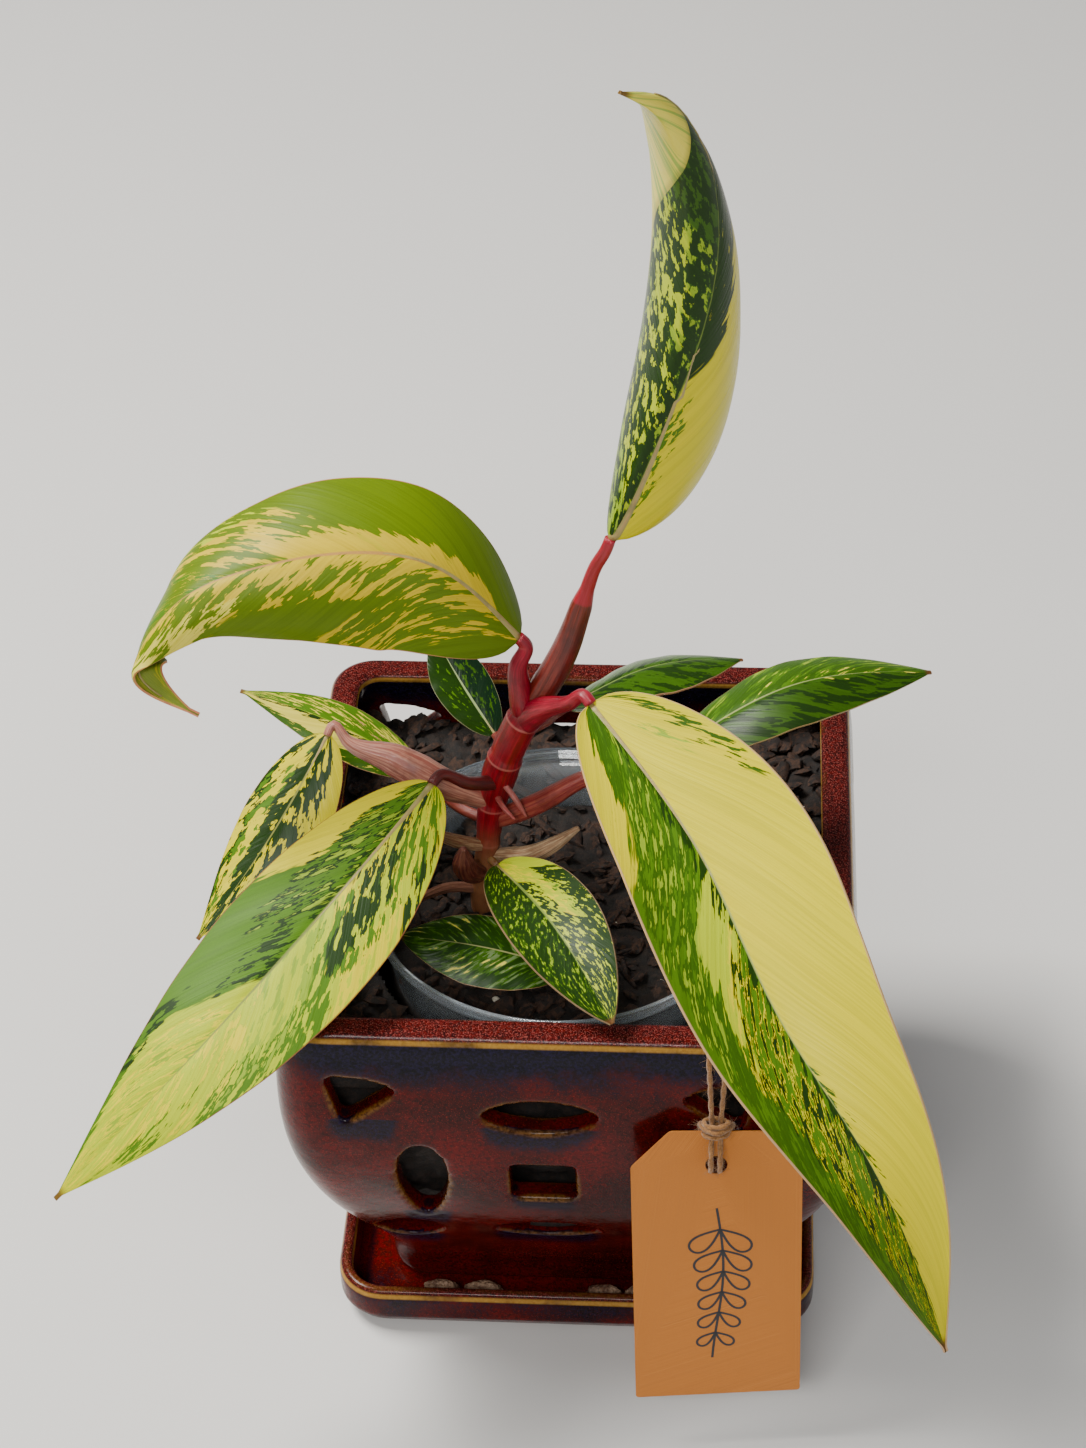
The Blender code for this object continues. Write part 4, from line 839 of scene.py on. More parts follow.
def rounded(corners, radius, arc=5):
    """A corner outline with its corners rounded off."""
    out = []
    count = len(corners)
    for i in range(count):
        p, a, b = (Vector(corners[(i + k) % count]) for k in (0, -1, 1))
        cut = min(radius, (a - p).length * 0.45, (b - p).length * 0.45)
        start, end = p + (a - p).normalized() * cut, p + (b - p).normalized() * cut
        for k in range(arc + 1):
            t = k / arc
            out.append(tuple(start.lerp(p, t).lerp(p.lerp(end, t), t)))
    return out


def oval(x, z, width, height):
    """A slightly flattened eye."""
    return [(x + width / 2 * math.cos(a), z + height / 2 * math.sin(a) * (1 - 0.25 * abs(math.cos(a)) ** 3))
            for a in angles(40)]


def tear(x, top, bottom, width):
    """A drop with its narrow end down."""
    out = []
    for a in angles(40):
        lift = (1 - math.cos(a)) / 2
        out.append((x + width / 2 * math.sin(a) * (0.55 + 0.45 * lift), bottom + (top - bottom) * lift))
    return out


def pierced_outlines():
    """Outlines of one wall's openings: eyes, a window, brows and tears."""
    high = POT_TALL / 0.1523
    window = [(PIERCED_X + x, z * high) for x, z in
              ((-0.0105, 0.080), (0.0105, 0.080), (0.0105, 0.101), (-0.0105, 0.101))]
    outlines = [oval(PIERCED_X, 0.1255 * high, 0.037, 0.014), rounded(window, 0.002),
                oval(PIERCED_X, 0.0525 * high, 0.034, 0.013)]
    for side in (-1, 1):
        brow = [(0.068, 0.141), (0.056, 0.1405), (0.044, 0.136), (0.063, 0.120)]
        outlines.append(rounded([(PIERCED_X + side * x, z * high) for x, z in brow], 0.0035))
        outlines.append(tear(PIERCED_X + side * 0.039, 0.110 * high, 0.066 * high, 0.020))
        outlines.append(oval(PIERCED_X + side * 0.0465, 0.050 * high, 0.023, 0.017))
    return outlines


def per_vertex(mesh, what):
    values = np.zeros(len(mesh.vertices) * 3)
    mesh.vertices.foreach_get(what, values)
    return values.reshape(-1, 3)


def store(mesh, name, values):
    mesh.attributes.new(name, "FLOAT", "POINT").data.foreach_set("value", values.astype(np.float32))


def mark_edges(mesh):
    """Vertex attribute: how much the surface bulges there, from 0.5 flat to 1 on an edge."""
    co, no = per_vertex(mesh, "co"), per_vertex(mesh, "normal")
    ends = np.zeros(len(mesh.edges) * 2, np.int64)
    mesh.edges.foreach_get("vertices", ends)
    a, b = ends.reshape(-1, 2).T
    degree = np.maximum(np.bincount(ends, minlength=len(co)), 1)

    def average(values):
        total = np.zeros_like(values)
        np.add.at(total, a, values[b])
        np.add.at(total, b, values[a])
        return (total.T / degree).T

    bulge = ((co - average(co)) * no).sum(1)
    for _ in range(3):
        bulge = average(bulge)
    store(mesh, "edge", np.clip(0.5 + bulge / BULGE, 0, 1))


def mark_runs(mesh):
    """Vertex attribute: how far a point lies in the run of glaze that gathers under an opening."""
    x, y, z = per_vertex(mesh, "co").T
    lateral = np.where(np.abs(y) >= np.abs(x), x, y)
    outer = np.array([pot_half(v - POT_BASE_Z) for v in z])
    outside = np.maximum(np.abs(x), np.abs(y)) > outer - RUN_SKIN
    value = np.zeros(len(z))
    for outline in pierced_outlines():
        across, up = np.array(outline).T
        left, right, low = across.min(), across.max(), up.min() + 0.002
        near = 1 - np.abs(lateral - (left + right) / 2) / ((right - left) * 0.62)
        down = 1 - (low - z) / RUN_LENGTH
        inside = np.clip(2.2 * near, 0, 1) * np.clip(down, 0, 1) * (z < low) * outside
        value = np.maximum(value, inside)
    store(mesh, "run", value)


def glaze_material(name, rim_z, band=0.016, blue_run=1.0):
    """Oxblood glaze: speckled red, blue-violet run under the rim, ochre where it breaks on edges, and a
    gold line round the rim's outer edge that is partly glaze break and partly painted highlight.
    """
    n = Nodes(name)
    spot = n.spot()
    high = n.split(spot)["Z"]
    edge = n.attribute("edge")
    cloud = n.noise(spot, 38.0, 5.0, 0.6)
    grain = n.noise(spot, 900.0, 4.0, 0.65)
    specks = n.noise(spot, 2200.0, 2.0, 0.6)
    color = n.paint(srgb(92, 7, 5), cloud, 0.35, 0.68, srgb(46, 5, 4))
    color = n.paint(color, grain, 0.44, 0.62, srgb(30, 8, 5), 0.70)
    color = n.paint(color, specks, 0.58, 0.70, srgb(150, 40, 22), 0.55)
    blue = n.paint(srgb(8, 6, 14), grain, 0.40, 0.64, srgb(24, 19, 46))
    drip = n.shaken(high, cloud, 0.030)
    color = n.paint(color, drip, rim_z - band - 0.008, rim_z - band + 0.006, blue, blue_run)
    color = n.paint(color, n.shaken(n.attribute("run"), cloud, 0.7), 0.18, 0.60, blue, 0.92 * blue_run)
    rim = n.paint(srgb(80, 14, 12), grain, 0.36, 0.60, srgb(38, 8, 8))
    rim = n.paint(rim, specks, 0.52, 0.64, srgb(136, 66, 60), 0.85)
    color = n.paint(color, high, rim_z - 0.0022, rim_z - 0.0008, rim)
    color = n.paint(color, edge, 0.47, 0.30, srgb(14, 10, 20), 0.85)
    ochre = n.paint(srgb(60, 34, 8), grain, 0.35, 0.65, srgb(120, 80, 28))
    color = n.paint(color, n.shaken(edge, cloud, 0.40), 0.72, 0.96, ochre, 0.80)
    # a thin gold line just under the rim's top edge: partly glaze breaking there, partly a painted
    # highlight
    patchy = n.ramp(n.noise(spot, 70.0, 4.0), 0.30, 0.50, 0.35, 1.0)
    rim_break_and_highlight = n.mul(n.ramp(n.gap(high, rim_z - 0.0024), 0.0004, 0.0012, 0.95, 0.0), patchy)
    color = n.mix(rim_break_and_highlight, color, n.mix(grain, srgb(120, 78, 22), srgb(190, 146, 66)))
    height = n.mul_add(n.noise(spot, 120.0, 2.0), 1.0, n.mul(grain, 0.10))
    return n.finish(color, n.ramp(grain, 0.3, 0.7, 0.12, 0.24), (height, 0.25, 0.0012),
                    Coat_Weight=0.04, Coat_Roughness=0.04, Specular_IOR_Level=0.11)


def make_ware(name, node, profile, mat, voxel, rounds, cutters=()):
    """A square pot or dish, pierced, its edges rounded over as a melted glaze rounds them."""
    rings = [square_ring(*row) for row in profile]
    points = [p for ring in rings for p in ring]
    ware = mesh_object(name, points, tube_faces(len(rings), len(rings[0])), [mat])
    for cutter in cutters:
        modify(ware, "BOOLEAN", operation="DIFFERENCE", solver="EXACT", object=cutter)
    applied(ware)
    modify(ware, "REMESH", mode="VOXEL", voxel_size=voxel, adaptivity=0.0)
    modify(ware, "SMOOTH", factor=0.5, iterations=rounds)
    applied(ware)
    ware.data.shade_smooth()
    ware.data.materials.clear()
    ware.data.materials.append(mat)
    mark_edges(ware.data)
    return finish_piece(ware, "oxblood_glaze", node)


def make_outer_pot():
    levels = [POT_TALL * i / 60 for i in range(1, 57)]
    inner = POT_HALF - POT_LIP
    profile = [(pot_half(0) - 0.003, POT_CORNER - 0.002, POT_BASE_Z),
               (pot_half(0.002), POT_CORNER, POT_BASE_Z + 0.002)]
    profile += [(pot_half(z), POT_CORNER, POT_BASE_Z + z) for z in levels]
    profile += [(half, POT_CORNER - corner, POT_RIM_Z - down) for half, corner, down in (
        (POT_HALF + 0.0008, 0.0, 0.0040), (POT_HALF, 0.0, 0.0015), (POT_HALF - 0.0018, 0.001, 0.0),
        (inner + 0.0018, 0.006, 0.0), (inner, 0.007, 0.0018))]
    profile += [(pot_inner_half(z), POT_CORNER - 0.006, POT_BASE_Z + z) for z in reversed(levels[5:])]
    profile.append((pot_inner_half(0.012) - 0.003, POT_CORNER - 0.007, POT_BASE_Z + POT_FLOOR))
    cutters = [cutter_prism(outline, turn) for turn in (0, 90) for outline in pierced_outlines()]
    glaze = glaze_material("pot_glaze", POT_RIM_Z)
    pot = make_ware("pot_ware", "outer_pot", profile, glaze, 0.0011, 7, cutters)
    mark_runs(pot.data)
    for cutter in cutters:
        bpy.data.objects.remove(cutter)


def make_saucer():
    half, high, wall = SAUCER_HIGH.x, SAUCER_HIGH.z, SAUCER_WALL
    profile = [
        (half - 0.007, 0.012, 0.0), (half - 0.003, 0.014, 0.0015), (half, 0.016, 0.007),
        (half, 0.016, high - 0.003), (half - 0.0012, 0.015, high - 0.0006),
        (half - 0.0028, 0.014, high), (half - wall + 0.0006, 0.012, high - 0.0010),
        (half - wall, 0.011, high - 0.004), (half - wall - 0.001, 0.010, SAUCER_FLOOR + 0.003),
        (half - wall - 0.004, 0.008, SAUCER_FLOOR),
    ]
    glaze = glaze_material("saucer_glaze", high, band=0.006, blue_run=0.75)
    make_ware("saucer_ware", "saucer", profile, glaze, 0.0009, 6)


# ------------------------------------------------------------------ inner pot, mix and bark
def make_nursery_pot():
    """A thin clear cup with a ribbed rim, as a profile turned round its middle."""
    n = Nodes("clear_plastic")
    haze = n.noise(n.spot(), 60.0)
    mat = n.finish(n.mix(haze, (0.70, 0.78, 0.86), (0.86, 0.92, 0.96)), n.ramp(haze, 0.3, 0.7, 0.02, 0.08),
                   Transmission_Weight=0.86, IOR=1.46)
    top, base = NURSERY_HIGH.z, NURSERY_LOW.z
    rim, wall, foot, axis = NURSERY_RADIUS, 0.0008, 0.045, 0.0005

    def side(down):
        z = top - down
        return foot + (rim - 0.0025 - foot) * (z - base) / (top - base), z

    ribs = ((wall * 1.2, 0.0), (0.0002, 0.0005), (0.0, 0.0012), (0.0008, 0.0020), (0.0002, 0.0030),
            (0.0012, 0.0040), (0.0006, 0.0052))
    outside = [(rim - inset, top - down) for inset, down in ribs] + [(side(0.008)[0], top - 0.0075)]
    outside += [side(0.012 + 0.01 * i) for i in range(10)]
    outside += [(foot, base + 0.003), (foot - 0.003, base), (axis, base)]
    inside = [(max(r - wall, axis), z + (wall if r < foot else 0)) for r, z in reversed(outside)]
    profile = outside + inside[:-1] + [outside[0]]
    points = [(NURSERY_X + r * math.cos(a), NURSERY_Y + r * math.sin(a), z)
              for a in angles(128) + [0.0] for r, z in profile]
    pot = mesh_object("nursery_shell", points, grid_faces(129, len(profile)), [mat])
    with editing(pot.data) as bm:
        bmesh.ops.remove_doubles(bm, verts=bm.verts, dist=MERGE)
        bmesh.ops.recalc_face_normals(bm, faces=bm.faces)
    pot.data.set_sharp_from_angle(angle=math.radians(50))
    finish_piece(pot, "clear_plastic", "nursery_pot")


def soil_material(name, tints, rough=0.75):
    """Dark organic crumb: tints mixed by cells, dusty and rough."""
    n = Nodes(name)
    color = n.paint(tints[0], n.split(n.cells(700.0, "Color"))["X"], 0.2, 0.8, tints[1])
    fine = n.noise(n.spot(), 1500.0, 5.0, 0.7)
    return n.finish(n.paint(color, fine, 0.4, 0.7, tints[2], 0.7), rough, (fine, 0.9, 0.0008))


def lumpy_bed(name, inside, low, mat, rough, spacing=0.0012):
    """A crumbly bed: a fine grid over the area where inside(x, y) holds, with skirts down to low."""
    mesh = bpy.data.meshes.new(name)
    stations = [-POT_HALF + i * spacing for i in range(int(2 * POT_HALF / spacing) + 1)]
    verts = {}
    with editing(mesh) as bm:
        for i, x in enumerate(stations):
            for j, y in enumerate(stations):
                if inside(x, y):
                    bumps = noise.fractal(Vector((x, y, 0.3)) * 180, 0.9, 2.1, 4) * rough
                    verts[i, j] = bm.verts.new((x, y, FILL_Z - BED_DROP + bumps))
        for (i, j), v in verts.items():
            around = [verts.get(k) for k in ((i + 1, j), (i + 1, j + 1), (i, j + 1))]
            if all(around):
                bm.faces.new((v, *around))
        edges = [e for e in bm.edges if e.is_boundary]
        for v in bmesh.ops.extrude_edge_only(bm, edges=edges)["geom"]:
            if isinstance(v, bmesh.types.BMVert):
                v.co.z = low
        bmesh.ops.recalc_face_normals(bm, faces=bm.faces)
    return object_of(name, mesh, [mat])


def crumb(kind, seed):
    """A small lump's points and faces: a flat bark chip, a round perlite grain or a twig."""
    bm = bmesh.new()
    bmesh.ops.create_icosphere(bm, subdivisions=2, radius=1.0)
    stretch = {"chip": (1.0, 0.62, 0.30), "perlite": (1.0, 0.9, 0.8), "twig": (1.0, 0.12, 0.12)}[kind]
    lumpy = 0.48 if kind == "chip" else 0.21
    for v in bm.verts:
        n = noise.noise(v.co * 1.6 + Vector((seed * 7.1, 0, 0)))
        v.co = Vector([c * s for c, s in zip(v.co, stretch)]) * (1 + lumpy * n)
    points = np.array([v.co[:] for v in bm.verts])
    faces = [[v.index for v in f.verts] for f in bm.faces]
    bm.free()
    return points, faces


def scatter(name, kind, count, size, inside, mat, slot):
    """Many crumbs laid over the bed, joined in one piece."""
    shapes = [crumb(kind, s) for s in range(6)]
    points, faces = [], []
    while count:
        x, y = random.uniform(-0.085, 0.085), random.uniform(-0.085, 0.085)
        if not inside(x, y):
            continue
        count -= 1
        scale = random.uniform(*size)
        spin, nod, tip = random.uniform(0, 6.28), random.uniform(-0.6, 0.6), random.uniform(-0.5, 0.5)
        turn = Matrix.Rotation(spin, 3, "Z") @ Matrix.Rotation(nod, 3, "X") @ Matrix.Rotation(tip, 3, "Y")
        pts, fcs = random.choice(shapes)
        faces += [[i + len(points) for i in f] for f in fcs]
        points += list(pts @ np.array(turn).T * scale + (x, y, FILL_Z - BED_DROP + scale * 0.3))
    obj = mesh_object(name, points, faces, [mat])
    obj.data.set_sharp_from_angle(angle=math.radians(35))
    finish_piece(obj, slot)


def from_nursery(x, y):
    return math.hypot(x - NURSERY_X, y - NURSERY_Y) - NURSERY_RADIUS


def in_nursery(x, y, margin=0.0028):
    return from_nursery(x, y) < -0.0060 - margin


def in_fill(x, y, margin=0.002):
    half = pot_inner_half(FILL_Z - POT_BASE_Z) - margin
    outside = from_nursery(x, y) > -0.0015 + margin
    return outside and max(abs(x), abs(y)) < half and abs(x) + abs(y) < 2 * half - 0.006


def make_beds():
    dark = soil_material("mix_crumb", (srgb(19, 13, 9), srgb(38, 25, 17), srgb(8, 6, 5)))
    chips = soil_material("bark_chip", (srgb(30, 19, 13), srgb(66, 41, 25), srgb(12, 9, 7)))
    pale = (srgb(206, 198, 180), srgb(226, 220, 206), srgb(160, 148, 128))
    white = soil_material("perlite_grain", pale, 0.9)
    mix_bed = lumpy_bed("mix_bed", lambda x, y: in_nursery(x, y, 0.0), NURSERY_LOW.z + 0.004, dark, 0.0016)
    finish_piece(mix_bed, "potting_mix", "potting_mix")
    scatter("mix_chips", "chip", 340, (0.0018, 0.0048), in_nursery, chips, "potting_mix")
    scatter("mix_perlite", "perlite", 22, (0.0009, 0.0020), in_nursery, white, "potting_mix")
    scatter("mix_twigs", "twig", 26, (0.004, 0.009), lambda x, y: in_nursery(x, y, 0.008), chips,
            "potting_mix")
    bark_bed = lumpy_bed("bark_bed", lambda x, y: in_fill(x, y, 0.0004), FILL_Z - 0.008, dark, 0.0018)
    finish_piece(bark_bed, "bark")
    finish_piece(bark_wall(dark), "bark", "bark_fill")
    scatter("bark_chips", "chip", 420, (0.0020, 0.0056), in_fill, chips, "bark")
    scatter("bark_perlite", "perlite", 26, (0.0009, 0.0024), in_fill, white, "bark")


def bark_wall(mat):
    """The fill's rough sides behind the pot's openings."""
    points, faces = [], []
    columns, rows = 111, 85
    foot, top = POT_BASE_Z + 0.010, FILL_Z - 0.0015
    for quarter in range(4):
        spin = Matrix.Rotation(math.radians(90 * quarter), 3, "Z")
        faces += grid_faces(rows, columns, len(points))
        for i in range(rows):
            z = foot + (top - foot) * i / (rows - 1)
            half = pot_inner_half(z - POT_BASE_Z) - 0.0008
            for j in range(columns):
                x = half * (2 * j / (columns - 1) - 1) * 0.985
                seed = Vector((x, quarter * 1.7, z))
                rough = 0.0014 * noise.fractal(seed * 160, 0.9, 2.1, 3)
                chip = 0.0026 * noise.voronoi(seed * 190)[0][0]
                points.append(spin @ Vector((x, 0.0016 + rough + chip - half, z)))
    return mesh_object("bark_wall", points, faces, [mat])


def make_pumice():
    """Pale crusted lumps in the saucer, pitted all over, with painted shade darkening the pits."""
    n = Nodes("pumice_crust")
    pits = n.cells(900.0, "Distance")
    color = n.paint(srgb(96, 66, 48), n.noise(n.spot(), 300.0, 4.0), 0.35, 0.65, srgb(150, 122, 98))
    # painted shade: the pits are painted dark brown
    mat = n.finish(n.paint(color, pits, 0.35, 0.0, srgb(44, 24, 18), 0.7), 0.6, (pits, 0.8, 0.001))
    for i in range(1, 5):
        name = "pumice_%d" % i
        low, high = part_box(name)
        mesh = bpy.data.meshes.new(name)
        with editing(mesh) as bm:
            bmesh.ops.create_icosphere(bm, subdivisions=5, radius=1.0)
            for v in bm.verts:
                lump = 0.93 + 0.10 * noise.fractal(v.co * 1.7 + Vector((i * 3.3, 0, 0)), 0.8, 2.0, 4)
                v.co = (low + high) / 2 + v.co * (high - low) / 2 * lump
        finish_piece(object_of(name + "_stone", mesh, [mat]), "pumice", name)


# ------------------------------------------------------------------ tag and twine
TAG_WIDTH, TAG_LENGTH, TAG_CLIP, TAG_THICK = 0.054, 0.108, 0.0125, 0.0006
TAG_HOLE, TAG_DROP = 0.0035, 0.013      # the hole's radius and its distance from the top edge
TAG_LEAN, TAG_TURN, TAG_ROLL = 12.0, 2.5, 1.2
TAG_X = 0.0475
PEN_HALF, PEN_PROUD = 0.00042, 0.00006  # half the pen line's width, and its height over the card


def kraft_material():
    """Brown fibrous card with a ring pressed round its hole."""
    n = Nodes("kraft_card")
    uv = n.uv()
    stretched = n.add("Mapping", {"Vector": uv, "Scale": (1.0, 0.35, 1.0)}).outputs[0]
    fibres = n.noise(stretched, 1500.0, 5.0, 0.75)
    flecks = n.noise(uv, 700.0, 4.0, 0.7, 0.8)
    color = n.paint(srgb(164, 88, 22), fibres, 0.34, 0.66, srgb(208, 134, 52))
    color = n.paint(color, flecks, 0.56, 0.68, srgb(128, 70, 24), 0.60)
    color = n.paint(color, flecks, 0.40, 0.30, srgb(224, 164, 92), 0.40)
    hole = n.add("VectorMath", {0: uv, 1: (0.0, -TAG_DROP, 0.0)}, operation="DISTANCE").outputs["Value"]
    press = n.ramp(n.gap(hole, 0.0078), 0.0, 0.0007, 1.0, 0.0)
    color = n.mix(n.mul(press, 0.25), color, srgb(150, 100, 56))
    return n.finish(color, 0.82, (n.mul_add(press, -1.2, fibres), 0.5, 0.0003))


def flat_card():
    """The card's mesh before it bows: clipped corners, a punched hole and eleven cross cuts."""
    half, shoulder = TAG_WIDTH / 2, -TAG_CLIP * 1.1
    corners = [(-half, -TAG_LENGTH), (half, -TAG_LENGTH), (half, shoulder),
               (half - TAG_CLIP, 0.0), (-half + TAG_CLIP, 0.0), (-half, shoulder)]
    hole = [(TAG_HOLE * math.cos(a), TAG_HOLE * math.sin(a) - TAG_DROP) for a in angles(48)]
    data = bpy.data.curves.new("tag_card", "CURVE")
    data.dimensions = "2D"
    data.fill_mode = "BOTH"
    data.extrude = TAG_THICK / 2
    for points in (rounded(corners, 0.0012, 4), hole):
        spline = data.splines.new("POLY")
        spline.points.add(len(points) - 1)
        for point, (x, y) in zip(spline.points, points):
            point.co = (x, y, 0.0, 1.0)
        spline.use_cyclic_u = True
    flat = link(bpy.data.objects.new("tag_flat", data))
    mesh = evaluated_mesh(flat)
    bpy.data.objects.remove(flat)
    with editing(mesh) as bm:
        bmesh.ops.remove_doubles(bm, verts=bm.verts, dist=MERGE)
        for step in range(1, 12):
            everything = bm.verts[:] + bm.edges[:] + bm.faces[:]
            bmesh.ops.bisect_plane(bm, geom=everything, plane_co=(0, -TAG_LENGTH * step / 12, 0),
                                   plane_no=(0, 1, 0))
    return mesh


def make_tag():
    mesh = flat_card()
    layer = mesh.uv_layers.new(name="UVMap")
    for loop in mesh.loops:
        layer.data[loop.index].uv = mesh.vertices[loop.vertex_index].co.xy
    to_frame = tag_matrix()
    for v in mesh.vertices:
        v.co = to_frame @ card_bow(v.co)
    mesh.materials.clear()
    finish_piece(object_of("tag_card", mesh, [kraft_material()], smooth=False), "kraft_card", "hang_tag")
    make_sprig(to_frame)


def card_bow(p):
    """The card bows a little about its length and twists toward its foot."""
    down = -p.y / TAG_LENGTH
    twist = math.sin(math.radians(1.0 - 4.0 * down)) * p.x
    return Vector((p.x, p.y, p.z + TAG_THICK * (math.sin(math.pi * down) - 0.5) + twist))


def tag_matrix():
    """The CAD card's place: lean about X and a slight turn in its own plane."""
    top = POT_RIM_Z - 0.0306
    matrix = Matrix.Translation((TAG_X, -pot_half(top - POT_BASE_Z) - 0.0050, top))
    for turn, axis in ((90 - TAG_LEAN, "X"), (TAG_TURN, "Y"), (TAG_ROLL, "Z")):
        matrix = matrix @ Matrix.Rotation(math.radians(turn), 4, axis)
    return matrix


def make_sprig(to_frame):
    """A plain pen drawing on the card: a curved twig with paired leaves."""
    n = Nodes("pen_ink")
    ink = n.finish(n.mix(n.noise(n.spot(), 900.0, 2.0), srgb(16, 15, 18), srgb(34, 32, 36)), 0.5)
    twig = [(0.002 * math.sin(4.2 * t), -0.030 - 0.062 * t) for t in np.linspace(0, 1, 30)]
    strokes = [twig]
    lean_x, lean_y = math.sin(math.radians(48)), math.cos(math.radians(48))
    for k in range(6):
        x, y = twig[4 + 4 * k]
        size = 0.0125 - 0.0010 * k
        for side in (-1, 1):
            leaf = []
            for s in np.linspace(0, 1, 25):
                along, wide = size * math.sin(math.pi * s), 0.24 * size * math.sin(2 * math.pi * s)
                out = side * (along * lean_x + wide * lean_y)
                leaf.append((x + out, y - along * lean_y + wide * lean_x))
            strokes.append(leaf)
    points, faces = [], []
    for stroke in strokes:
        line = np.array(stroke)
        way = unit(np.gradient(line, axis=0))
        out = np.stack([-way[:, 1], way[:, 0]], 1) * PEN_HALF
        faces += grid_faces(len(line), 2, len(points))
        for p, o in zip(line, out):
            points += [to_frame @ (card_bow(Vector((*q, TAG_THICK / 2))) + Vector((0, 0, PEN_PROUD)))
                       for q in (p + o, p - o)]
    finish_piece(mesh_object("tag_sprig", points, faces, [ink]), "kraft_card")


# Half of the route, in metres from the rim's front edge at the tag's own x.
TWINE_HALF = [
    (-0.0030, 0.0125, -0.0220), (-0.0030, 0.0125, -0.0120), (-0.0030, 0.0121, -0.0040),
    (-0.0030, 0.0092, 0.0019), (-0.0030, 0.0045, 0.0026), (-0.0028, -0.0008, 0.0020),
    (-0.0026, -0.0042, -0.0030), (-0.0022, -0.0056, -0.0100), (-0.0018, -0.0072, -0.0180),
    (-0.0014, -0.0087, -0.0265), (-0.0014, -0.0112, -0.0330), (-0.0014, -0.0145, -0.0380),
    (-0.0014, -0.0142, -0.0422), (-0.0016, -0.0102, -0.0441), (-0.0030, -0.0068, -0.0422),
    (-0.0045, -0.0056, -0.0380), (-0.0050, -0.0052, -0.0330), (-0.0050, -0.0066, -0.0285),
    (-0.0038, -0.0104, -0.0266),
]
TWINE_ROUTE = TWINE_HALF + [(0.0, -0.0124, -0.0264)] + [(-x, y, z) for x, y, z in reversed(TWINE_HALF)]
TWINE_DIAMETER = 0.0018
TWINE_LAY = 0.0052      # length of one turn of its plies
HAIRS = 560


def jute_material():
    n = Nodes("jute_ply")
    spot = n.spot()
    fibre = n.noise(spot, 2200.0, 4.0, 0.7)
    color = n.paint(srgb(92, 56, 24), fibre, 0.3, 0.7, srgb(172, 122, 66))
    color = n.paint(color, n.noise(spot, 240.0, 2.0), 0.4, 0.7, srgb(124, 80, 38), 0.5)
    return n.finish(color, 0.85, (fibre, 0.8, 0.0003), Sheen_Weight=0.3)


def two_ply(turns):
    """A two-lobed section that turns along its tube."""
    def section(t, a):
        lobe = abs(math.cos(a - math.pi * turns * t))
        return TWINE_DIAMETER / 2 * (0.62 + 0.38 * lobe ** 0.8)

    return section


def make_twine():
    """Two-ply jute over the rim and through the card's hole, with its knot and its loose hairs."""
    start = Vector((TAG_X, -POT_HALF, POT_RIM_Z))
    path = smooth_path([start + Vector(p) for p in TWINE_ROUTE], 600)
    length = float(np.linalg.norm(np.diff(path, axis=0), axis=1).sum())
    mat = jute_material()
    twine = sweep("twine_ply", path, two_ply(length / TWINE_LAY), mat, 16)
    hairs = make_hairs(path, mat)
    knot = make_knot(start + Vector((0.0, -0.0094, -0.0268)), mat)
    finish_piece(twine, "jute", "twine")
    finish_piece(hairs, "jute")
    finish_piece(knot, "jute")


def make_knot(middle, mat):
    """Two and a half wraps drawn tight around both strands above the card's hole."""
    path = []
    for t in np.linspace(0, 1, 121):
        a = 2 * math.pi * 2.5 * t + math.pi
        rise = 0.0046 * (t - 0.5)
        path.append(middle + Vector((0.0038 * math.cos(a), 0.0024 * math.sin(a) + 0.25 * rise, rise)))
    return sweep("twine_knot", path, two_ply(16), mat, 16)


def make_hairs(path, mat):
    """Loose jute hairs, each a thin three-sided sliver."""
    points, faces = [], []
    rng = random.Random(3)
    for _ in range(HAIRS):
        i = rng.randrange(20, len(path) - 20)
        way = Vector(path[i + 1] - path[i - 1]).normalized()
        out = Vector([rng.gauss(0, 1) for _ in range(3)])
        out = (out - way * out.dot(way)).normalized()
        reach = rng.uniform(0.0012, 0.0034)
        bow = Vector([rng.gauss(0, 0.0007) for _ in range(3)])
        lean = way * rng.choice((-1, 1)) * reach * 0.8
        root = Vector(path[i]) + out * 0.0006
        line = [root, root + out * reach * 0.5 + lean * 0.4 + bow, root + out * reach * 0.8 + lean]
        cross = out.cross(way).normalized()
        faces += grid_faces(3, 3, len(points), wrap=True)
        for k, p in enumerate(line):
            thin = 0.000055 * (1 - 0.45 * k)
            points += [p + cross * thin, p - cross * thin, p + way * thin]
    return mesh_object("twine_hairs", points, faces, [mat])


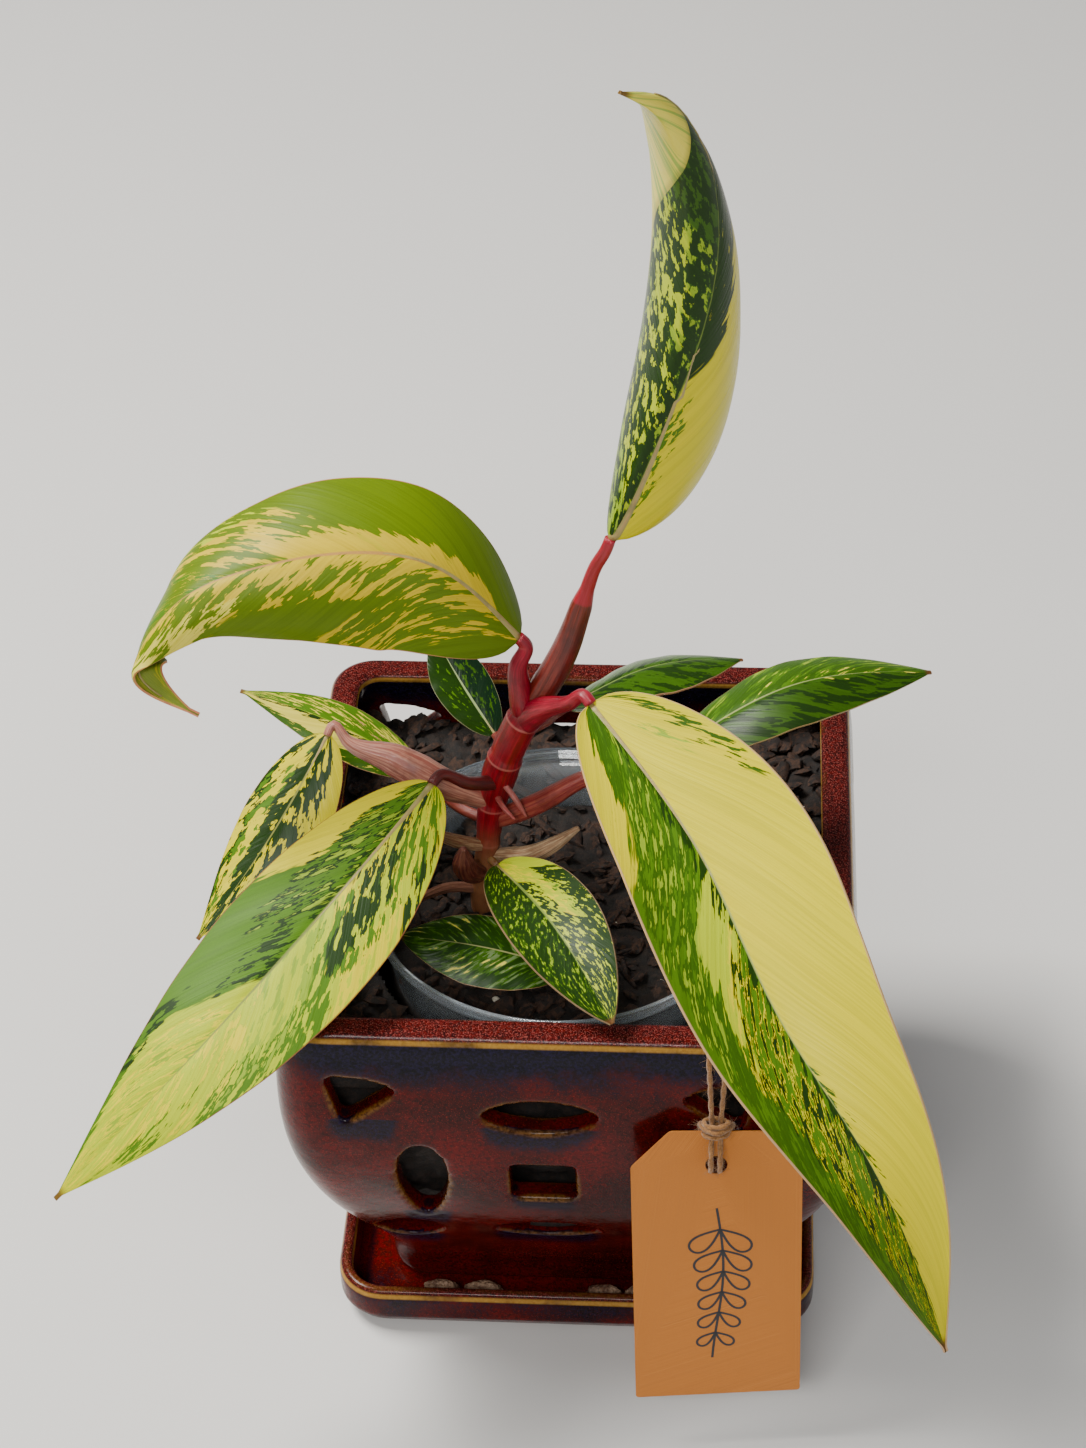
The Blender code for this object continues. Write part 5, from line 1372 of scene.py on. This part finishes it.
# ------------------------------------------------------------------ stage
def make_stage():
    """A floor that curves up into a wall behind the object."""
    n = Nodes("studio_floor")
    color = n.mix(n.noise(n.spot(), 3.0), (0.66, 0.65, 0.63), (0.70, 0.69, 0.67))
    rows = []
    for t in (i / 59 for i in range(60)):
        a = (t - 0.5) * math.pi
        rows.append((-2.0 + t * 8.4, 0.0) if a < 0 else (2.2 + 1.2 * math.sin(a), 1.2 - 1.2 * math.cos(a)))
    rows.append((3.4, 4.0))
    points = [(x, y, z - 0.0002) for y, z in rows for x in (-4.0, 4.0)]
    mesh_object("studio_sweep", points, grid_faces(len(rows), 2), [n.finish(color, 0.8)])


def area_light(name, where, aim, size, power, color):
    data = bpy.data.lights.new(name, "AREA")
    data.shape = "RECTANGLE"
    data.size, data.size_y = size
    data.energy = power
    data.color = color
    obj = link(bpy.data.objects.new(name, data))
    obj.location = where
    obj.rotation_euler = (Vector(aim) - Vector(where)).to_track_quat("-Z", "Y").to_euler()


def make_lights():
    world = bpy.data.worlds.new("studio")
    bpy.context.scene.world = world
    world.use_nodes = True
    sky = world.node_tree.nodes["Background"].inputs
    sky["Color"].default_value = (0.95, 0.97, 1.0, 1.0)
    sky["Strength"].default_value = 0.28
    area_light("key", (-0.8, 0.25, 1.5), (0.0, 0.0, 0.18), (0.7, 0.5), 46, (1.0, 0.97, 0.92))
    area_light("fill", (1.2, -1.0, 0.9), (0.0, 0.0, 0.15), (1.0, 1.0), 6, (0.95, 0.97, 1.0))
    area_light("front", (-0.3, -1.3, 1.5), (0.0, 0.0, 0.15), (0.7, 0.4), 17, (1.0, 0.98, 0.95))


def make_camera():
    """A long lens from in front and well above."""
    data = bpy.data.cameras.new("camera")
    data.lens = 75.1
    data.sensor_width = 36.0
    data.sensor_fit = "AUTO"
    data.clip_start = 0.01
    obj = link(bpy.data.objects.new("camera", data))
    right = Vector((0.99797, 0.05844, -0.02530))
    up = Vector((-0.02026, 0.66801, 0.74388))
    turn = Matrix((right, up, right.cross(up))).transposed().to_4x4()
    obj.matrix_world = Matrix.Translation((0.0479, -0.7148, 0.8527)) @ turn
    bpy.context.scene.camera = obj


make_camera()
make_twine()
make_lights()
make_stage()
for leaf_name in LEAVES:
    make_blade(leaf_name)
make_stalks()
make_stem()
make_dried()
make_stubs()
make_outer_pot()
make_saucer()
make_nursery_pot()
make_beds()
make_pumice()
make_tag()
